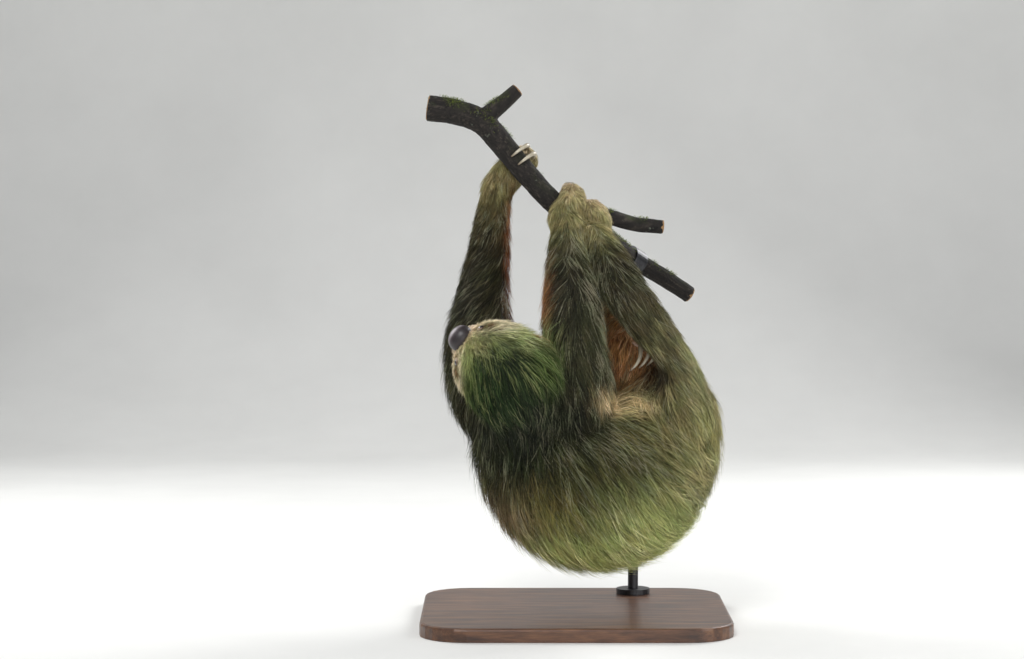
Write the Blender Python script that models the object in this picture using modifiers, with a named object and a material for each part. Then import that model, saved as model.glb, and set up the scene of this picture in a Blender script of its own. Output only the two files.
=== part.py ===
"""A life-size Hoffmann's two-toed sloth hanging from a cut length of branch on a plain display stand.

Metres, +Z up. +X runs along the body from head to rump and +Y away from the front of the display.
The origin is the middle of the stand's underside. The solids of the body reach out to the tips of
the coat, and every piece keeps a thin gap to its neighbours.
"""

import math

import bmesh
import bpy
from mathutils import Matrix, Vector

GAP = 0.0003  # between two pieces that meet
COLLECTION = "two_toed_sloth"

# Stand
BASE_LENGTH = 0.460
BASE_DEPTH = 0.400
BASE_HEIGHT = 0.020
BASE_CORNER = 0.070
BASE_CHAMFER = 0.004
ROD_RADIUS = 0.008
FLANGE_RADIUS = 0.026
FLANGE_HEIGHT = 0.008
CLAMP_LENGTH = 0.026
CLAMP_WALL = 0.0035

# Branch: middle line and radius from the thick cut end to the thin one
BRANCH = [
    (Vector((-0.2205, 0.030, 0.7725)), 0.0200),
    (Vector((-0.1800, 0.027, 0.7665)), 0.0192),
    (Vector((-0.1395, 0.022, 0.7510)), 0.0188),
    (Vector((-0.1050, 0.018, 0.7125)), 0.0178),
    (Vector((-0.0675, 0.010, 0.6675)), 0.0168),
    (Vector((-0.0300, 0.004, 0.6285)), 0.0162),
    (Vector((0.0105, 0.020, 0.6030)), 0.0156),
    (Vector((0.0540, 0.080, 0.5710)), 0.0150),
    (Vector((0.0945, 0.140, 0.5415)), 0.0146),
    (Vector((0.1395, 0.163, 0.5145)), 0.0140),
    (Vector((0.1840, 0.176, 0.4850)), 0.0130),
]
UPPER_FORK = [
    (Vector((-0.1430, 0.022, 0.7530)), 0.0150),
    (Vector((-0.1130, 0.026, 0.7760)), 0.0128),
    (Vector((-0.0860, 0.032, 0.8010)), 0.0120),
]
SIDE_FORK = [
    (Vector((-0.0080, 0.011, 0.6140)), 0.0140),
    (Vector((0.0430, 0.038, 0.6110)), 0.0120),
    (Vector((0.0900, 0.060, 0.5980)), 0.0112),
    (Vector((0.1350, 0.066, 0.5930)), 0.0108),
]
CLAMP_STATION = 8  # the branch's station that the rod carries

# Trunk: middle line and radius of the coat, from the shoulders to the rump
TRUNK = [
    (Vector((-0.0690, -0.010, 0.3200)), 0.084),
    (Vector((-0.0510, -0.012, 0.2600)), 0.108),
    (Vector((-0.0010, -0.014, 0.2130)), 0.130),
    (Vector((0.0580, -0.014, 0.2120)), 0.130),
    (Vector((0.1150, -0.012, 0.2560)), 0.104),
    (Vector((0.1390, -0.010, 0.2970)), 0.082),
]
TRUNK_DEPTH = 0.92  # depth over height of the trunk's section

# Head: its own frame, with the crown turned to the front of the display
SKULL = Vector((-0.124, -0.084, 0.397))
HEAD_FORWARD = Vector((-0.701, 0.500, 0.502)).normalized()
HEAD_LEFT = Vector((-0.580, 0.000, -0.810))
HEAD_LEFT = (HEAD_LEFT - HEAD_LEFT.dot(HEAD_FORWARD) * HEAD_FORWARD).normalized()
HEAD_UP = HEAD_FORWARD.cross(HEAD_LEFT)
HEAD_TURN = Matrix((HEAD_FORWARD, HEAD_LEFT, HEAD_UP)).transposed()
EYE_RADIUS = 0.0062
EYE_PLACE = (0.0375, 0.0305, 0.0160)  # forward, to the side and up from the skull's middle
EAR_PLACE = (-0.0200, 0.0690, 0.0020)
EAR_HALF_SIZES = (0.0120, 0.0065, 0.0150)
EAR_DISH_OFFSET = (0.0025, 0.0052, 0.0000)
EAR_DISH_HALF_SIZES = (0.0085, 0.0048, 0.0110)
NOSE_PLACE = (0.0630, 0.0, 0.0040)
NOSE_HALF_SIZES = (0.0155, 0.0200, 0.0162)
# Forward and up of each rounded form of the head, with its half sizes forward, sideways and up
HEAD_FORMS = [
    ((-0.050, 0.000), (0.066, 0.075, 0.066)),
    ((-0.014, 0.002), (0.056, 0.071, 0.054)),
    ((0.014, -0.004), (0.040, 0.063, 0.034)),
    ((0.038, -0.006), (0.034, 0.047, 0.027)),
    ((0.040, -0.026), (0.027, 0.022, 0.013)),
]
# Forward and up of the muzzle's middle line, with its radius
MUZZLE = [
    ((0.000, -0.004), 0.034),
    ((0.030, -0.006), 0.0310),
    ((0.046, -0.009), 0.0262),
    ((0.058, -0.011), 0.0232),
    ((0.068, -0.012), 0.0175),
]

# Neck: middle line and coat radius, from inside the head to inside the trunk
NECK = [
    (Vector((-0.0880, -0.104, 0.362)), 0.050),
    (Vector((-0.0780, -0.086, 0.332)), 0.064),
    (Vector((-0.0700, -0.050, 0.306)), 0.076),
    (Vector((-0.0640, -0.024, 0.285)), 0.078),
]

# Limbs: the coat's middle line and radius, from the body to the wrist or ankle. The third
# station is the elbow or knee, and the last one the wrist or ankle.
LEFT_ARM = [
    (Vector((-0.1260, 0.030, 0.340)), 0.068),
    (Vector((-0.1420, 0.046, 0.415)), 0.058),
    (Vector((-0.1370, 0.053, 0.490)), 0.043),
    (Vector((-0.1270, 0.051, 0.575)), 0.0325),
    (Vector((-0.1185, 0.046, 0.652)), 0.0235),
]
RIGHT_ARM = [
    (Vector((0.0000, -0.052, 0.340)), 0.062),
    (Vector((-0.0030, -0.082, 0.415)), 0.051),
    (Vector((-0.0055, -0.086, 0.470)), 0.047),
    (Vector((-0.0110, -0.058, 0.540)), 0.036),
    (Vector((-0.0110, -0.031, 0.594)), 0.0255),
]
LEFT_LEG = [
    (Vector((0.1300, 0.040, 0.342)), 0.064),
    (Vector((0.0700, 0.068, 0.374)), 0.059),
    (Vector((0.0150, 0.076, 0.408)), 0.047),
    (Vector((0.0460, 0.060, 0.450)), 0.039),
    (Vector((0.0880, 0.024, 0.468)), 0.026),
]
RIGHT_LEG = [
    (Vector((0.1590, -0.040, 0.312)), 0.056),
    (Vector((0.1500, -0.066, 0.392)), 0.029),
    (Vector((0.0890, -0.074, 0.480)), 0.033),
    (Vector((0.0530, -0.056, 0.533)), 0.035),
    (Vector((0.0310, -0.031, 0.572)), 0.031),
]
BEND = 2  # the station of the elbow or knee

# Grips: how far along the branch's stations each gripping foot crosses it
LEFT_HAND_GRIP = 3.46
RIGHT_HAND_GRIP = 5.28
RIGHT_FOOT_GRIP = 6.08
CLAW_ROOT_RADIUS = 0.0046
CLAW_TIP_RADIUS = 0.0011
CLAW_CLEARANCE = 0.0008  # between a claw's inner side and the bark
CLAW_STATIONS = 7
HAND_CLAW_OFFSETS = (-0.0080, 0.0080)
FOOT_CLAW_OFFSETS = (-0.0125, 0.0, 0.0125)
TOE_TIP_RADIUS = 0.0095

FRONT = Vector((0, -1, 0))
BACK = Vector((0, 1, 0))
# Each grip: the limb, the place along the branch, the side it comes up on, half the paw's width,
# how far it folds over, the claws' places across the paw and the angles they start and end at
GRIPS = {
    "hand_left": (LEFT_ARM, LEFT_HAND_GRIP, BACK, 0.0070, 0.0, HAND_CLAW_OFFSETS, 66, -92),
    "hand_right": (RIGHT_ARM, RIGHT_HAND_GRIP, FRONT, 0.0070, 1.0, HAND_CLAW_OFFSETS, 8, -142),
    "foot_right": (RIGHT_LEG, RIGHT_FOOT_GRIP, FRONT, 0.0110, 0.8, FOOT_CLAW_OFFSETS, 16, -128),
}
# The free foot hangs in front of the belly: its toes and the way its claws curl
FREE_FOOT_TOES = Vector((0.106, -0.026, 0.430))
FREE_CLAW_SPREAD = Vector((0.0125, 0.0, 0.0040))
FREE_CLAW_CURL = [
    Vector((-0.001, -0.001, 0.007)),
    Vector((0.003, -0.008, -0.008)),
    Vector((0.003, -0.011, -0.024)),
    Vector((-0.003, -0.009, -0.037)),
    Vector((-0.011, -0.003, -0.046)),
]

# Finish: base colour, roughness and metallic value
COLOURS = {
    "coat_dark": ((0.105, 0.085, 0.062), 0.9, 0.0),
    "coat_tan": ((0.300, 0.240, 0.150), 0.9, 0.0),
    "coat_green": ((0.180, 0.205, 0.090), 0.9, 0.0),
    "nose_skin": ((0.075, 0.055, 0.052), 0.45, 0.0),
    "ear_skin": ((0.420, 0.300, 0.220), 0.8, 0.0),
    "eye": ((0.020, 0.012, 0.008), 0.12, 0.0),
    "claw": ((0.360, 0.330, 0.270), 0.45, 0.0),
    "bark": ((0.070, 0.060, 0.048), 0.95, 0.0),
    "stand_wood": ((0.110, 0.060, 0.032), 0.45, 0.0),
    "stand_metal": ((0.090, 0.090, 0.095), 0.38, 1.0),
}

parts = bpy.data.collections.new(COLLECTION)
cutters = bpy.data.collections.new("cutters")


def clear_scene():
    """Removes what the scene held and links the two collections."""
    for old in list(bpy.data.objects):
        bpy.data.objects.remove(old)
    bpy.context.scene.collection.children.link(parts)
    bpy.context.scene.collection.children.link(cutters)
    cutters.hide_render = True


def material(part_name, finish):
    """A Principled material for one part, in one of the finishes of COLOURS."""
    colour, roughness, metallic = COLOURS[finish]
    made = bpy.data.materials.new(f"{part_name}_{finish}")
    made.use_nodes = True
    shader = made.node_tree.nodes["Principled BSDF"]
    shader.inputs["Base Color"].default_value = (*colour, 1.0)
    shader.inputs["Roughness"].default_value = roughness
    shader.inputs["Metallic"].default_value = metallic
    return made


def evaluated_mesh(obj):
    """A plain mesh of obj with its modifiers applied, in world space. obj is removed."""
    bpy.context.view_layer.update()
    graph = bpy.context.evaluated_depsgraph_get()
    mesh = bpy.data.meshes.new_from_object(obj.evaluated_get(graph))
    mesh.transform(obj.matrix_world)
    bpy.data.objects.remove(obj)
    shape = bmesh.new()
    shape.from_mesh(mesh)
    bmesh.ops.remove_doubles(shape, verts=shape.verts, dist=1e-6)
    bmesh.ops.recalc_face_normals(shape, faces=shape.faces)
    bmesh.ops.triangulate(shape, faces=shape.faces)
    shape.to_mesh(mesh)
    shape.free()
    return mesh


def sweep(stations, sides=12, steps=4):
    """A round tube with closed ends along a smooth curve through stations of (place, radius)."""
    curve = bpy.data.curves.new("sweep", "CURVE")
    curve.dimensions = "3D"
    curve.bevel_depth = 1.0
    curve.bevel_resolution = (sides - 4) // 2
    curve.use_fill_caps = True
    curve.resolution_u = steps
    spline = curve.splines.new("BEZIER")
    spline.radius_interpolation = "CARDINAL"
    spline.bezier_points.add(len(stations) - 1)
    for point, (place, radius) in zip(spline.bezier_points, stations):
        point.co = place
        point.radius = radius
        point.handle_left_type = point.handle_right_type = "AUTO"
    obj = bpy.data.objects.new("sweep", curve)
    parts.objects.link(obj)
    return evaluated_mesh(obj)


def ellipsoid(place, half_sizes, turn=None, segments=20, rings=12):
    """A sphere stretched to half_sizes along the columns of turn."""
    shape = bmesh.new()
    stretch = Matrix.Diagonal((*half_sizes, 1.0))
    matrix = Matrix.Translation(place) @ (turn or Matrix.Identity(3)).to_4x4() @ stretch
    bmesh.ops.create_uvsphere(
        shape, u_segments=segments, v_segments=rings, radius=1.0, matrix=matrix
    )
    mesh = bpy.data.meshes.new("ellipsoid")
    shape.to_mesh(mesh)
    shape.free()
    return mesh


def joined(meshes):
    """One mesh holding all the meshes, still as separate shells."""
    shape = bmesh.new()
    for mesh in meshes:
        shape.from_mesh(mesh)
        bpy.data.meshes.remove(mesh)
    mesh = bpy.data.meshes.new("joined")
    shape.to_mesh(mesh)
    shape.free()
    return mesh


def flesh(meshes, voxel, triangles, smoothing=6):
    """The overlapping meshes melted into one closed soft form of about that many triangles."""
    obj = bpy.data.objects.new("flesh", joined(meshes))
    parts.objects.link(obj)
    remesh = obj.modifiers.new("melt", "REMESH")
    remesh.mode = "VOXEL"
    remesh.voxel_size = voxel
    smooth = obj.modifiers.new("soften", "SMOOTH")
    smooth.iterations = smoothing
    obj = bpy.data.objects.new("flesh", evaluated_mesh(obj))
    parts.objects.link(obj)
    decimate = obj.modifiers.new("thin_out", "DECIMATE")
    decimate.ratio = min(1.0, triangles / (2 * len(obj.data.polygons)))
    return evaluated_mesh(obj)


def on_head(forward, left, up):
    """A point given in the head's own frame, from the skull's middle."""
    return SKULL + HEAD_TURN @ Vector((forward, left, up))


def station_at(along):
    """(place, radius, direction) of the branch at a fractional station number."""
    index = min(int(along), len(BRANCH) - 2)
    share = along - index
    (here, radius), (there, next_radius) = BRANCH[index], BRANCH[index + 1]
    place = here.lerp(there, share)
    return place, radius + (next_radius - radius) * share, (there - here).normalized()


def grip_frame(along, side):
    """The branch's place, radius and direction at a grip, with unit vectors to side and over the top."""
    place, radius, direction = station_at(along)
    sideways = (side - side.dot(direction) * direction).normalized()
    over = direction.cross(sideways)
    if over.z < 0:
        over = -over
    return place, radius, direction, sideways, over


def hooked_claw(along, side, offset, start, end):
    """A claw bent around the branch between two angles from its top, positive on the paw's side."""
    place, radius, direction, sideways, over = grip_frame(along, side)
    stations = []
    for step in range(CLAW_STATIONS):
        share = step / (CLAW_STATIONS - 1)
        angle = math.radians(start + (end - start) * share)
        thickness = CLAW_ROOT_RADIUS + (CLAW_TIP_RADIUS - CLAW_ROOT_RADIUS) * share**1.3
        lift = CLAW_CLEARANCE + 0.0070 * math.sin(math.pi * (1 - share) ** 1.5)
        out = radius + thickness + lift
        point = place + direction * offset
        point = point + out * (math.sin(angle) * sideways + math.cos(angle) * over)
        stations.append((point, thickness))
    return sweep(stations, sides=8, steps=1)


def gripping_paw(wrist, wrist_radius, along, side, width, arch):
    """A hand or foot that rises beside the branch and folds over it as far as arch, 0 to 1."""
    place, radius, direction, sideways, over = grip_frame(along, side)
    beside = place + sideways * (radius + 0.014) - over * 0.012
    knuckle = place + sideways * (radius * (1.0 - 0.35 * arch) + 0.0110) + over * 0.014
    crest = place + sideways * (0.020 - 0.020 * arch) + over * (radius + 0.002 + 0.0125 * arch)
    forms = []
    for offset in (-width, 0.0, width):
        slide = direction * offset
        forms.append(
            sweep(
                [
                    (wrist - (beside - wrist) * 0.5 + slide * 0.3, wrist_radius),
                    (wrist + slide * 0.5, wrist_radius),
                    (beside + slide, 0.0170),
                    (knuckle + slide, 0.0135),
                    (crest + slide, TOE_TIP_RADIUS + 0.0025 * arch),
                ]
            )
        )
    return forms


def make_head():
    """The head out to the tips of its fur: skull, brow, muzzle, cheeks and the ruff behind."""
    forms = [
        ellipsoid(on_head(place[0], 0, place[1]), half_sizes, HEAD_TURN)
        for place, half_sizes in HEAD_FORMS
    ]
    muzzle = [(on_head(place[0], 0, place[1]), radius) for place, radius in MUZZLE]
    forms.append(sweep(muzzle, sides=16))
    return flesh(forms, voxel=0.0030, triangles=1040, smoothing=4)


def make_ear(sign):
    """A small round ear lying against the head, dished on its outer face."""
    forward, left, up = EAR_PLACE
    ahead, out, above = EAR_DISH_OFFSET
    cup = ellipsoid(on_head(forward, sign * left, up), EAR_HALF_SIZES, HEAD_TURN, 10, 7)
    middle = on_head(forward + ahead, sign * (left + out), up + above)
    dish = ellipsoid(middle, EAR_DISH_HALF_SIZES, HEAD_TURN, 10, 7)
    obj = bpy.data.objects.new("ear", cup)
    hollow = bpy.data.objects.new("dish", dish)
    parts.objects.link(obj)
    cutters.objects.link(hollow)
    cut = obj.modifiers.new("dish", "BOOLEAN")
    cut.operation = "DIFFERENCE"
    cut.object = hollow
    mesh = evaluated_mesh(obj)
    bpy.data.objects.remove(hollow)
    return mesh


def make_trunk():
    """The trunk curled like a hammock, with its shoulder and hip masses."""
    spine = sweep(TRUNK, sides=20)
    middle = Vector((0, TRUNK[2][0].y, 0))
    spine.transform(
        Matrix.Translation(middle)
        @ Matrix.Diagonal((1, TRUNK_DEPTH, 1, 1))
        @ Matrix.Translation(-middle)
    )
    forms = [spine]
    shoulders, rump = TRUNK[0][0], TRUNK[-1][0]
    for place, half_size in (
        (shoulders, 0.082),
        (rump, 0.080),
        (LEFT_ARM[0][0].lerp(shoulders, 0.45), 0.068),
        (RIGHT_ARM[0][0].lerp(shoulders, 0.45), 0.066),
        (LEFT_LEG[0][0].lerp(rump, 0.40), 0.066),
        (RIGHT_LEG[0][0].lerp(rump, 0.40), 0.066),
    ):
        forms.append(ellipsoid(place, (half_size,) * 3))
    return flesh(forms, voxel=0.007, triangles=860)


def make_perch():
    """The cut branch with the stumps of its two forks."""
    forms = [sweep(BRANCH), sweep(UPPER_FORK), sweep(SIDE_FORK)]
    return flesh(forms, voxel=0.0034, triangles=740, smoothing=2)


def make_limb(stations, paw_forms, triangles):
    """A whole limb in one smooth form, from inside the body to the tips of the toes."""
    start, radius = stations[0]
    inward = (start - stations[1][0]).normalized() * radius * 0.7
    forms = [sweep([(start + inward, radius * 0.6), *stations])]
    return flesh(forms + paw_forms, voxel=0.0040, triangles=triangles, smoothing=4)


def make_limbs():
    """The four limbs, by name."""
    made = {}
    for name, stations, paw, triangles in (
        ("arm_left", LEFT_ARM, "hand_left", 700),
        ("arm_right", RIGHT_ARM, "hand_right", 720),
        ("leg_right", RIGHT_LEG, "foot_right", 780),
    ):
        _, along, side, width, arch, _, _, _ = GRIPS[paw]
        wrist, wrist_radius = stations[-1]
        forms = gripping_paw(wrist, wrist_radius * 0.88, along, side, width, arch)
        made[name] = make_limb(stations, forms, triangles)
    ankle, radius = LEFT_LEG[-1]
    middle = ankle.lerp(FREE_FOOT_TOES, 0.6) + Vector((0.004, -0.006, 0.002))
    forms = [sweep([(ankle, radius), (middle, 0.0215), (FREE_FOOT_TOES, 0.0130)])]
    for share in (-1.0, 0.0, 1.0):
        toe = FREE_FOOT_TOES + FREE_CLAW_SPREAD * share
        tip = toe + Vector((0.000, -0.003, -0.004))
        forms.append(sweep([(middle, 0.014), (toe, 0.0108), (tip, 0.0070)]))
    made["leg_left"] = make_limb(LEFT_LEG, forms, 820)
    return made


def make_claws():
    """All ten claws, by name: two on each hand and three on each foot."""
    made = {}
    for name, (_, along, side, _, _, offsets, start, end) in GRIPS.items():
        for number, offset in enumerate(offsets, start=1):
            made[f"claw_{name}_{number}"] = hooked_claw(along, side, offset, start, end)
    last = len(FREE_CLAW_CURL) - 1
    for number, share in enumerate((-1.0, 0.0, 1.0), start=1):
        root = FREE_FOOT_TOES + FREE_CLAW_SPREAD * share
        stations = []
        for index, step in enumerate(FREE_CLAW_CURL):
            thinning = (CLAW_TIP_RADIUS - CLAW_ROOT_RADIUS) * (index / last) ** 1.3
            stations.append((root + step, CLAW_ROOT_RADIUS + thinning))
        made[f"claw_foot_left_{number}"] = sweep(stations, sides=8, steps=2)
    return made


def make_base():
    """The stand's rounded plate: a flat outline, extruded, with its top edge broken."""
    shape = bmesh.new()
    inner = (BASE_LENGTH / 2 - BASE_CORNER, BASE_DEPTH / 2 - BASE_CORNER)
    corner_steps = 6
    rim = []
    for quarter, (sx, sy) in enumerate(((1, 1), (-1, 1), (-1, -1), (1, -1))):
        for step in range(corner_steps + 1):
            angle = math.pi / 2 * (quarter + step / corner_steps)
            x = sx * inner[0] + BASE_CORNER * math.cos(angle)
            y = sy * inner[1] + BASE_CORNER * math.sin(angle)
            rim.append(shape.verts.new((x, y, 0.0)))
    bottom = shape.faces.new(reversed(rim))
    raised = bmesh.ops.extrude_face_region(shape, geom=[bottom], use_keep_orig=True)["geom"]
    for vertex in (item for item in raised if isinstance(item, bmesh.types.BMVert)):
        vertex.co.z = BASE_HEIGHT
    bmesh.ops.recalc_face_normals(shape, faces=shape.faces)
    top_edges = [e for e in shape.edges if all(v.co.z > BASE_HEIGHT / 2 for v in e.verts)]
    bmesh.ops.bevel(
        shape, geom=top_edges, offset=BASE_CHAMFER, segments=2, profile=0.5, affect="EDGES"
    )
    mesh = bpy.data.meshes.new("base")
    shape.to_mesh(mesh)
    shape.free()
    return mesh


def cylinder(start, end, radius, segments=24):
    """A round bar from start to end."""
    shape = bmesh.new()
    along = end - start
    turn = Vector((0, 0, 1)).rotation_difference(along).to_matrix().to_4x4()
    bmesh.ops.create_cone(
        shape,
        cap_ends=True,
        segments=segments,
        radius1=radius,
        radius2=radius,
        depth=along.length,
        matrix=Matrix.Translation((start + end) / 2) @ turn,
    )
    mesh = bpy.data.meshes.new("cylinder")
    shape.to_mesh(mesh)
    shape.free()
    return mesh


def make_stand():
    """Plate, flange, rod and the ring that holds the branch, by name."""
    place, radius, _ = station_at(CLAMP_STATION)
    direction = (BRANCH[CLAMP_STATION + 1][0] - BRANCH[CLAMP_STATION - 1][0]).normalized()
    foot = Vector((place.x, place.y, BASE_HEIGHT + GAP))
    half = direction * CLAMP_LENGTH / 2
    return {
        "stand_clamp": cylinder(place - half, place + half, radius + CLAMP_WALL, 28),
        "stand_flange": cylinder(foot, foot + Vector((0, 0, FLANGE_HEIGHT)), FLANGE_RADIUS, 32),
        "stand_rod": cylinder(foot + Vector((0, 0, FLANGE_HEIGHT + GAP)), place, ROD_RADIUS),
        "stand_base": make_base(),
    }


def overlapping(first, second):
    """Whether the boxes of two meshes, grown by the gap, share any space."""
    for axis in range(3):
        a = [v.co[axis] for v in first.vertices]
        b = [v.co[axis] for v in second.vertices]
        if min(a) > max(b) + 2 * GAP or min(b) > max(a) + 2 * GAP:
            return False
    return True


def largest_shell(mesh):
    """Leaves only the biggest of a mesh's separate shells."""
    shape = bmesh.new()
    shape.from_mesh(mesh)
    waiting = set(shape.verts)
    shells = []
    while waiting:
        shell = set()
        reach = [waiting.pop()]
        while reach:
            vertex = reach.pop()
            shell.add(vertex)
            for edge in vertex.link_edges:
                other = edge.other_vert(vertex)
                if other in waiting:
                    waiting.remove(other)
                    reach.append(other)
        shells.append(shell)
    biggest = max(shells, key=len)
    spare = [vertex for vertex in shape.verts if vertex not in biggest]
    bmesh.ops.delete(shape, geom=spare, context="VERTS")
    bmesh.ops.triangulate(shape, faces=shape.faces)
    shape.to_mesh(mesh)
    shape.free()
    return mesh


def grown_copy(name, mesh):
    """A hidden cutter: the mesh, larger all round by the gap."""
    cutter = bpy.data.objects.new(f"cutter_{name}", mesh)
    cutters.objects.link(cutter)
    cutter.hide_render = True
    cutter.display_type = "WIRE"
    grow = cutter.modifiers.new("grow", "DISPLACE")
    grow.strength = GAP
    grow.mid_level = 0.0
    return cutter


def place_part(name, mesh, finish, parent):
    """The named object with its origin at the middle of its own shape."""
    middle = sum((v.co for v in mesh.vertices), Vector()) / len(mesh.vertices)
    body = mesh.copy()
    body.transform(Matrix.Translation(-middle))
    body.shade_smooth()
    body.set_sharp_from_angle(angle=math.radians(50))
    body.materials.append(material(name, finish))
    obj = bpy.data.objects.new(name, body)
    parts.objects.link(obj)
    obj.location = middle
    obj.parent = parent
    return obj


def finish_of(name):
    """The finish of a part, from its name."""
    for start, finish in (
        ("claw", "claw"),
        ("eye", "eye"),
        ("ear", "ear_skin"),
        ("nose", "nose_skin"),
        ("perch", "bark"),
        ("stand_base", "stand_wood"),
        ("stand", "stand_metal"),
        ("head", "coat_green"),
        ("neck", "coat_green"),
        ("trunk", "coat_tan"),
    ):
        if name.startswith(start):
            return finish
    return "coat_dark"


def divided(mesh, cuts):
    """The mesh split at each (place, direction) plane in turn, into one more piece than planes."""
    pieces = []
    for index in range(len(cuts) + 1):
        shape = bmesh.new()
        shape.from_mesh(mesh)
        for number, (place, direction) in enumerate(cuts[: index + 1]):
            before = number == index
            bmesh.ops.bisect_plane(
                shape,
                geom=[*shape.verts, *shape.edges, *shape.faces],
                dist=1e-7,
                plane_co=place + direction * GAP * (-0.5 if before else 0.5),
                plane_no=direction,
                clear_outer=before,
                clear_inner=not before,
            )
            rim = [edge for edge in shape.edges if edge.is_boundary]
            bmesh.ops.edgeloop_fill(shape, edges=rim)
        bmesh.ops.recalc_face_normals(shape, faces=shape.faces)
        piece = bpy.data.meshes.new("piece")
        shape.to_mesh(piece)
        shape.free()
        pieces.append(largest_shell(piece))
    return pieces


def bend_plane(stations, index):
    """The plane across a limb at one of its stations, halfway between the two directions."""
    place = stations[index][0]
    arriving = (place - stations[index - 1][0]).normalized()
    if index == len(stations) - 1:
        return place, arriving
    leaving = (stations[index + 1][0] - place).normalized()
    return place, (arriving + leaving).normalized()


def limb_cuts(stations):
    """The planes at the elbow or knee and at the wrist or ankle."""
    return [bend_plane(stations, BEND), bend_plane(stations, len(stations) - 1)]


# Each whole form, the names of its pieces and the planes between them
DIVISIONS = {
    "arm_left": (("upper_arm_left", "forearm_left", "hand_left"), limb_cuts(LEFT_ARM)),
    "arm_right": (("upper_arm_right", "forearm_right", "hand_right"), limb_cuts(RIGHT_ARM)),
    "leg_left": (("thigh_left", "shank_left", "foot_left"), limb_cuts(LEFT_LEG)),
    "leg_right": (("thigh_right", "shank_right", "foot_right"), limb_cuts(RIGHT_LEG)),
}


def whole_shapes():
    """Every form before it is cut by its neighbours, by name, in the order that they yield."""
    shapes = {}
    for side, sign in (("left", 1), ("right", -1)):
        forward, left, up = EYE_PLACE
        shapes[f"eye_{side}"] = ellipsoid(
            on_head(forward, sign * left, up), (EYE_RADIUS,) * 3, HEAD_TURN, 12, 8
        )
        shapes[f"ear_{side}"] = make_ear(sign)
    shapes["nose"] = ellipsoid(on_head(*NOSE_PLACE), NOSE_HALF_SIZES, HEAD_TURN, 14, 9)
    shapes.update(make_claws())
    shapes["perch"] = make_perch()
    shapes["head"] = make_head()
    shapes["trunk"] = make_trunk()
    shapes["neck"] = flesh([sweep(NECK, sides=16)], voxel=0.007, triangles=300)
    shapes.update(make_limbs())
    shapes.update(make_stand())
    return shapes


def main():
    clear_scene()
    shapes = whole_shapes()
    root = bpy.data.objects.new("display", None)
    parts.objects.link(root)
    done = []
    for name, mesh in shapes.items():
        whole = bpy.data.objects.new(f"whole_{name}", mesh.copy())
        cutters.objects.link(whole)
        for cutter_name, cutter in done:
            if overlapping(mesh, shapes[cutter_name]):
                cut = whole.modifiers.new(f"clear_{cutter_name}", "BOOLEAN")
                cut.operation = "DIFFERENCE"
                cut.object = cutter
        solid = largest_shell(evaluated_mesh(whole))
        names, cuts = DIVISIONS.get(name, ((name,), []))
        for piece_name, piece in zip(names, divided(solid, cuts)):
            place_part(piece_name, piece, finish_of(piece_name), root)
        done.append((name, grown_copy(name, mesh)))


main()
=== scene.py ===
"""Looks of a life-size Hoffmann's two-toed sloth that hangs from a cut branch on a display stand.

The body is a set of rounded chains. Each chain is a middle line through stations, and each station
gives the radius of the skin, the radius of the coat, the length and width of the hair, the way the
hair lies and its colour. The skin, the coat and its markings are all worked out from them.
"""

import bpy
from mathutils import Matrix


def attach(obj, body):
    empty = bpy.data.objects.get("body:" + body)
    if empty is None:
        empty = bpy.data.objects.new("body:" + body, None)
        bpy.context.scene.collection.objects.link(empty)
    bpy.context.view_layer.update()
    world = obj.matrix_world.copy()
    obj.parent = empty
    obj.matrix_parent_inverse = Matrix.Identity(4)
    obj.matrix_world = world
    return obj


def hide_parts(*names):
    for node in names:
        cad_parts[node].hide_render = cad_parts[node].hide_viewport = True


bl_info = {
    "name": "Hanging two-toed sloth",
    "version": (1, 0, 0),
    "blender": (4, 5, 0),
    "location": "View3D > Sidebar > Sloth",
    "description": "Skin, coat, claws, branch and stand of a life-size two-toed sloth",
    "category": "Object",
}

import math

import bmesh
import bpy
import numpy as np
from mathutils import Vector

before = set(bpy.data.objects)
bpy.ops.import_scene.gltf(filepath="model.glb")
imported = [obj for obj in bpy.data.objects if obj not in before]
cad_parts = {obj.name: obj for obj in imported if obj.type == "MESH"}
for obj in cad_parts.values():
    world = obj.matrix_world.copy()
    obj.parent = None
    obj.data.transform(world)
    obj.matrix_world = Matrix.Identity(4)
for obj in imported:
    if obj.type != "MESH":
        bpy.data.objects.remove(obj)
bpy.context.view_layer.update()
MM = 0.001
TAU = 2 * math.pi

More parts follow.
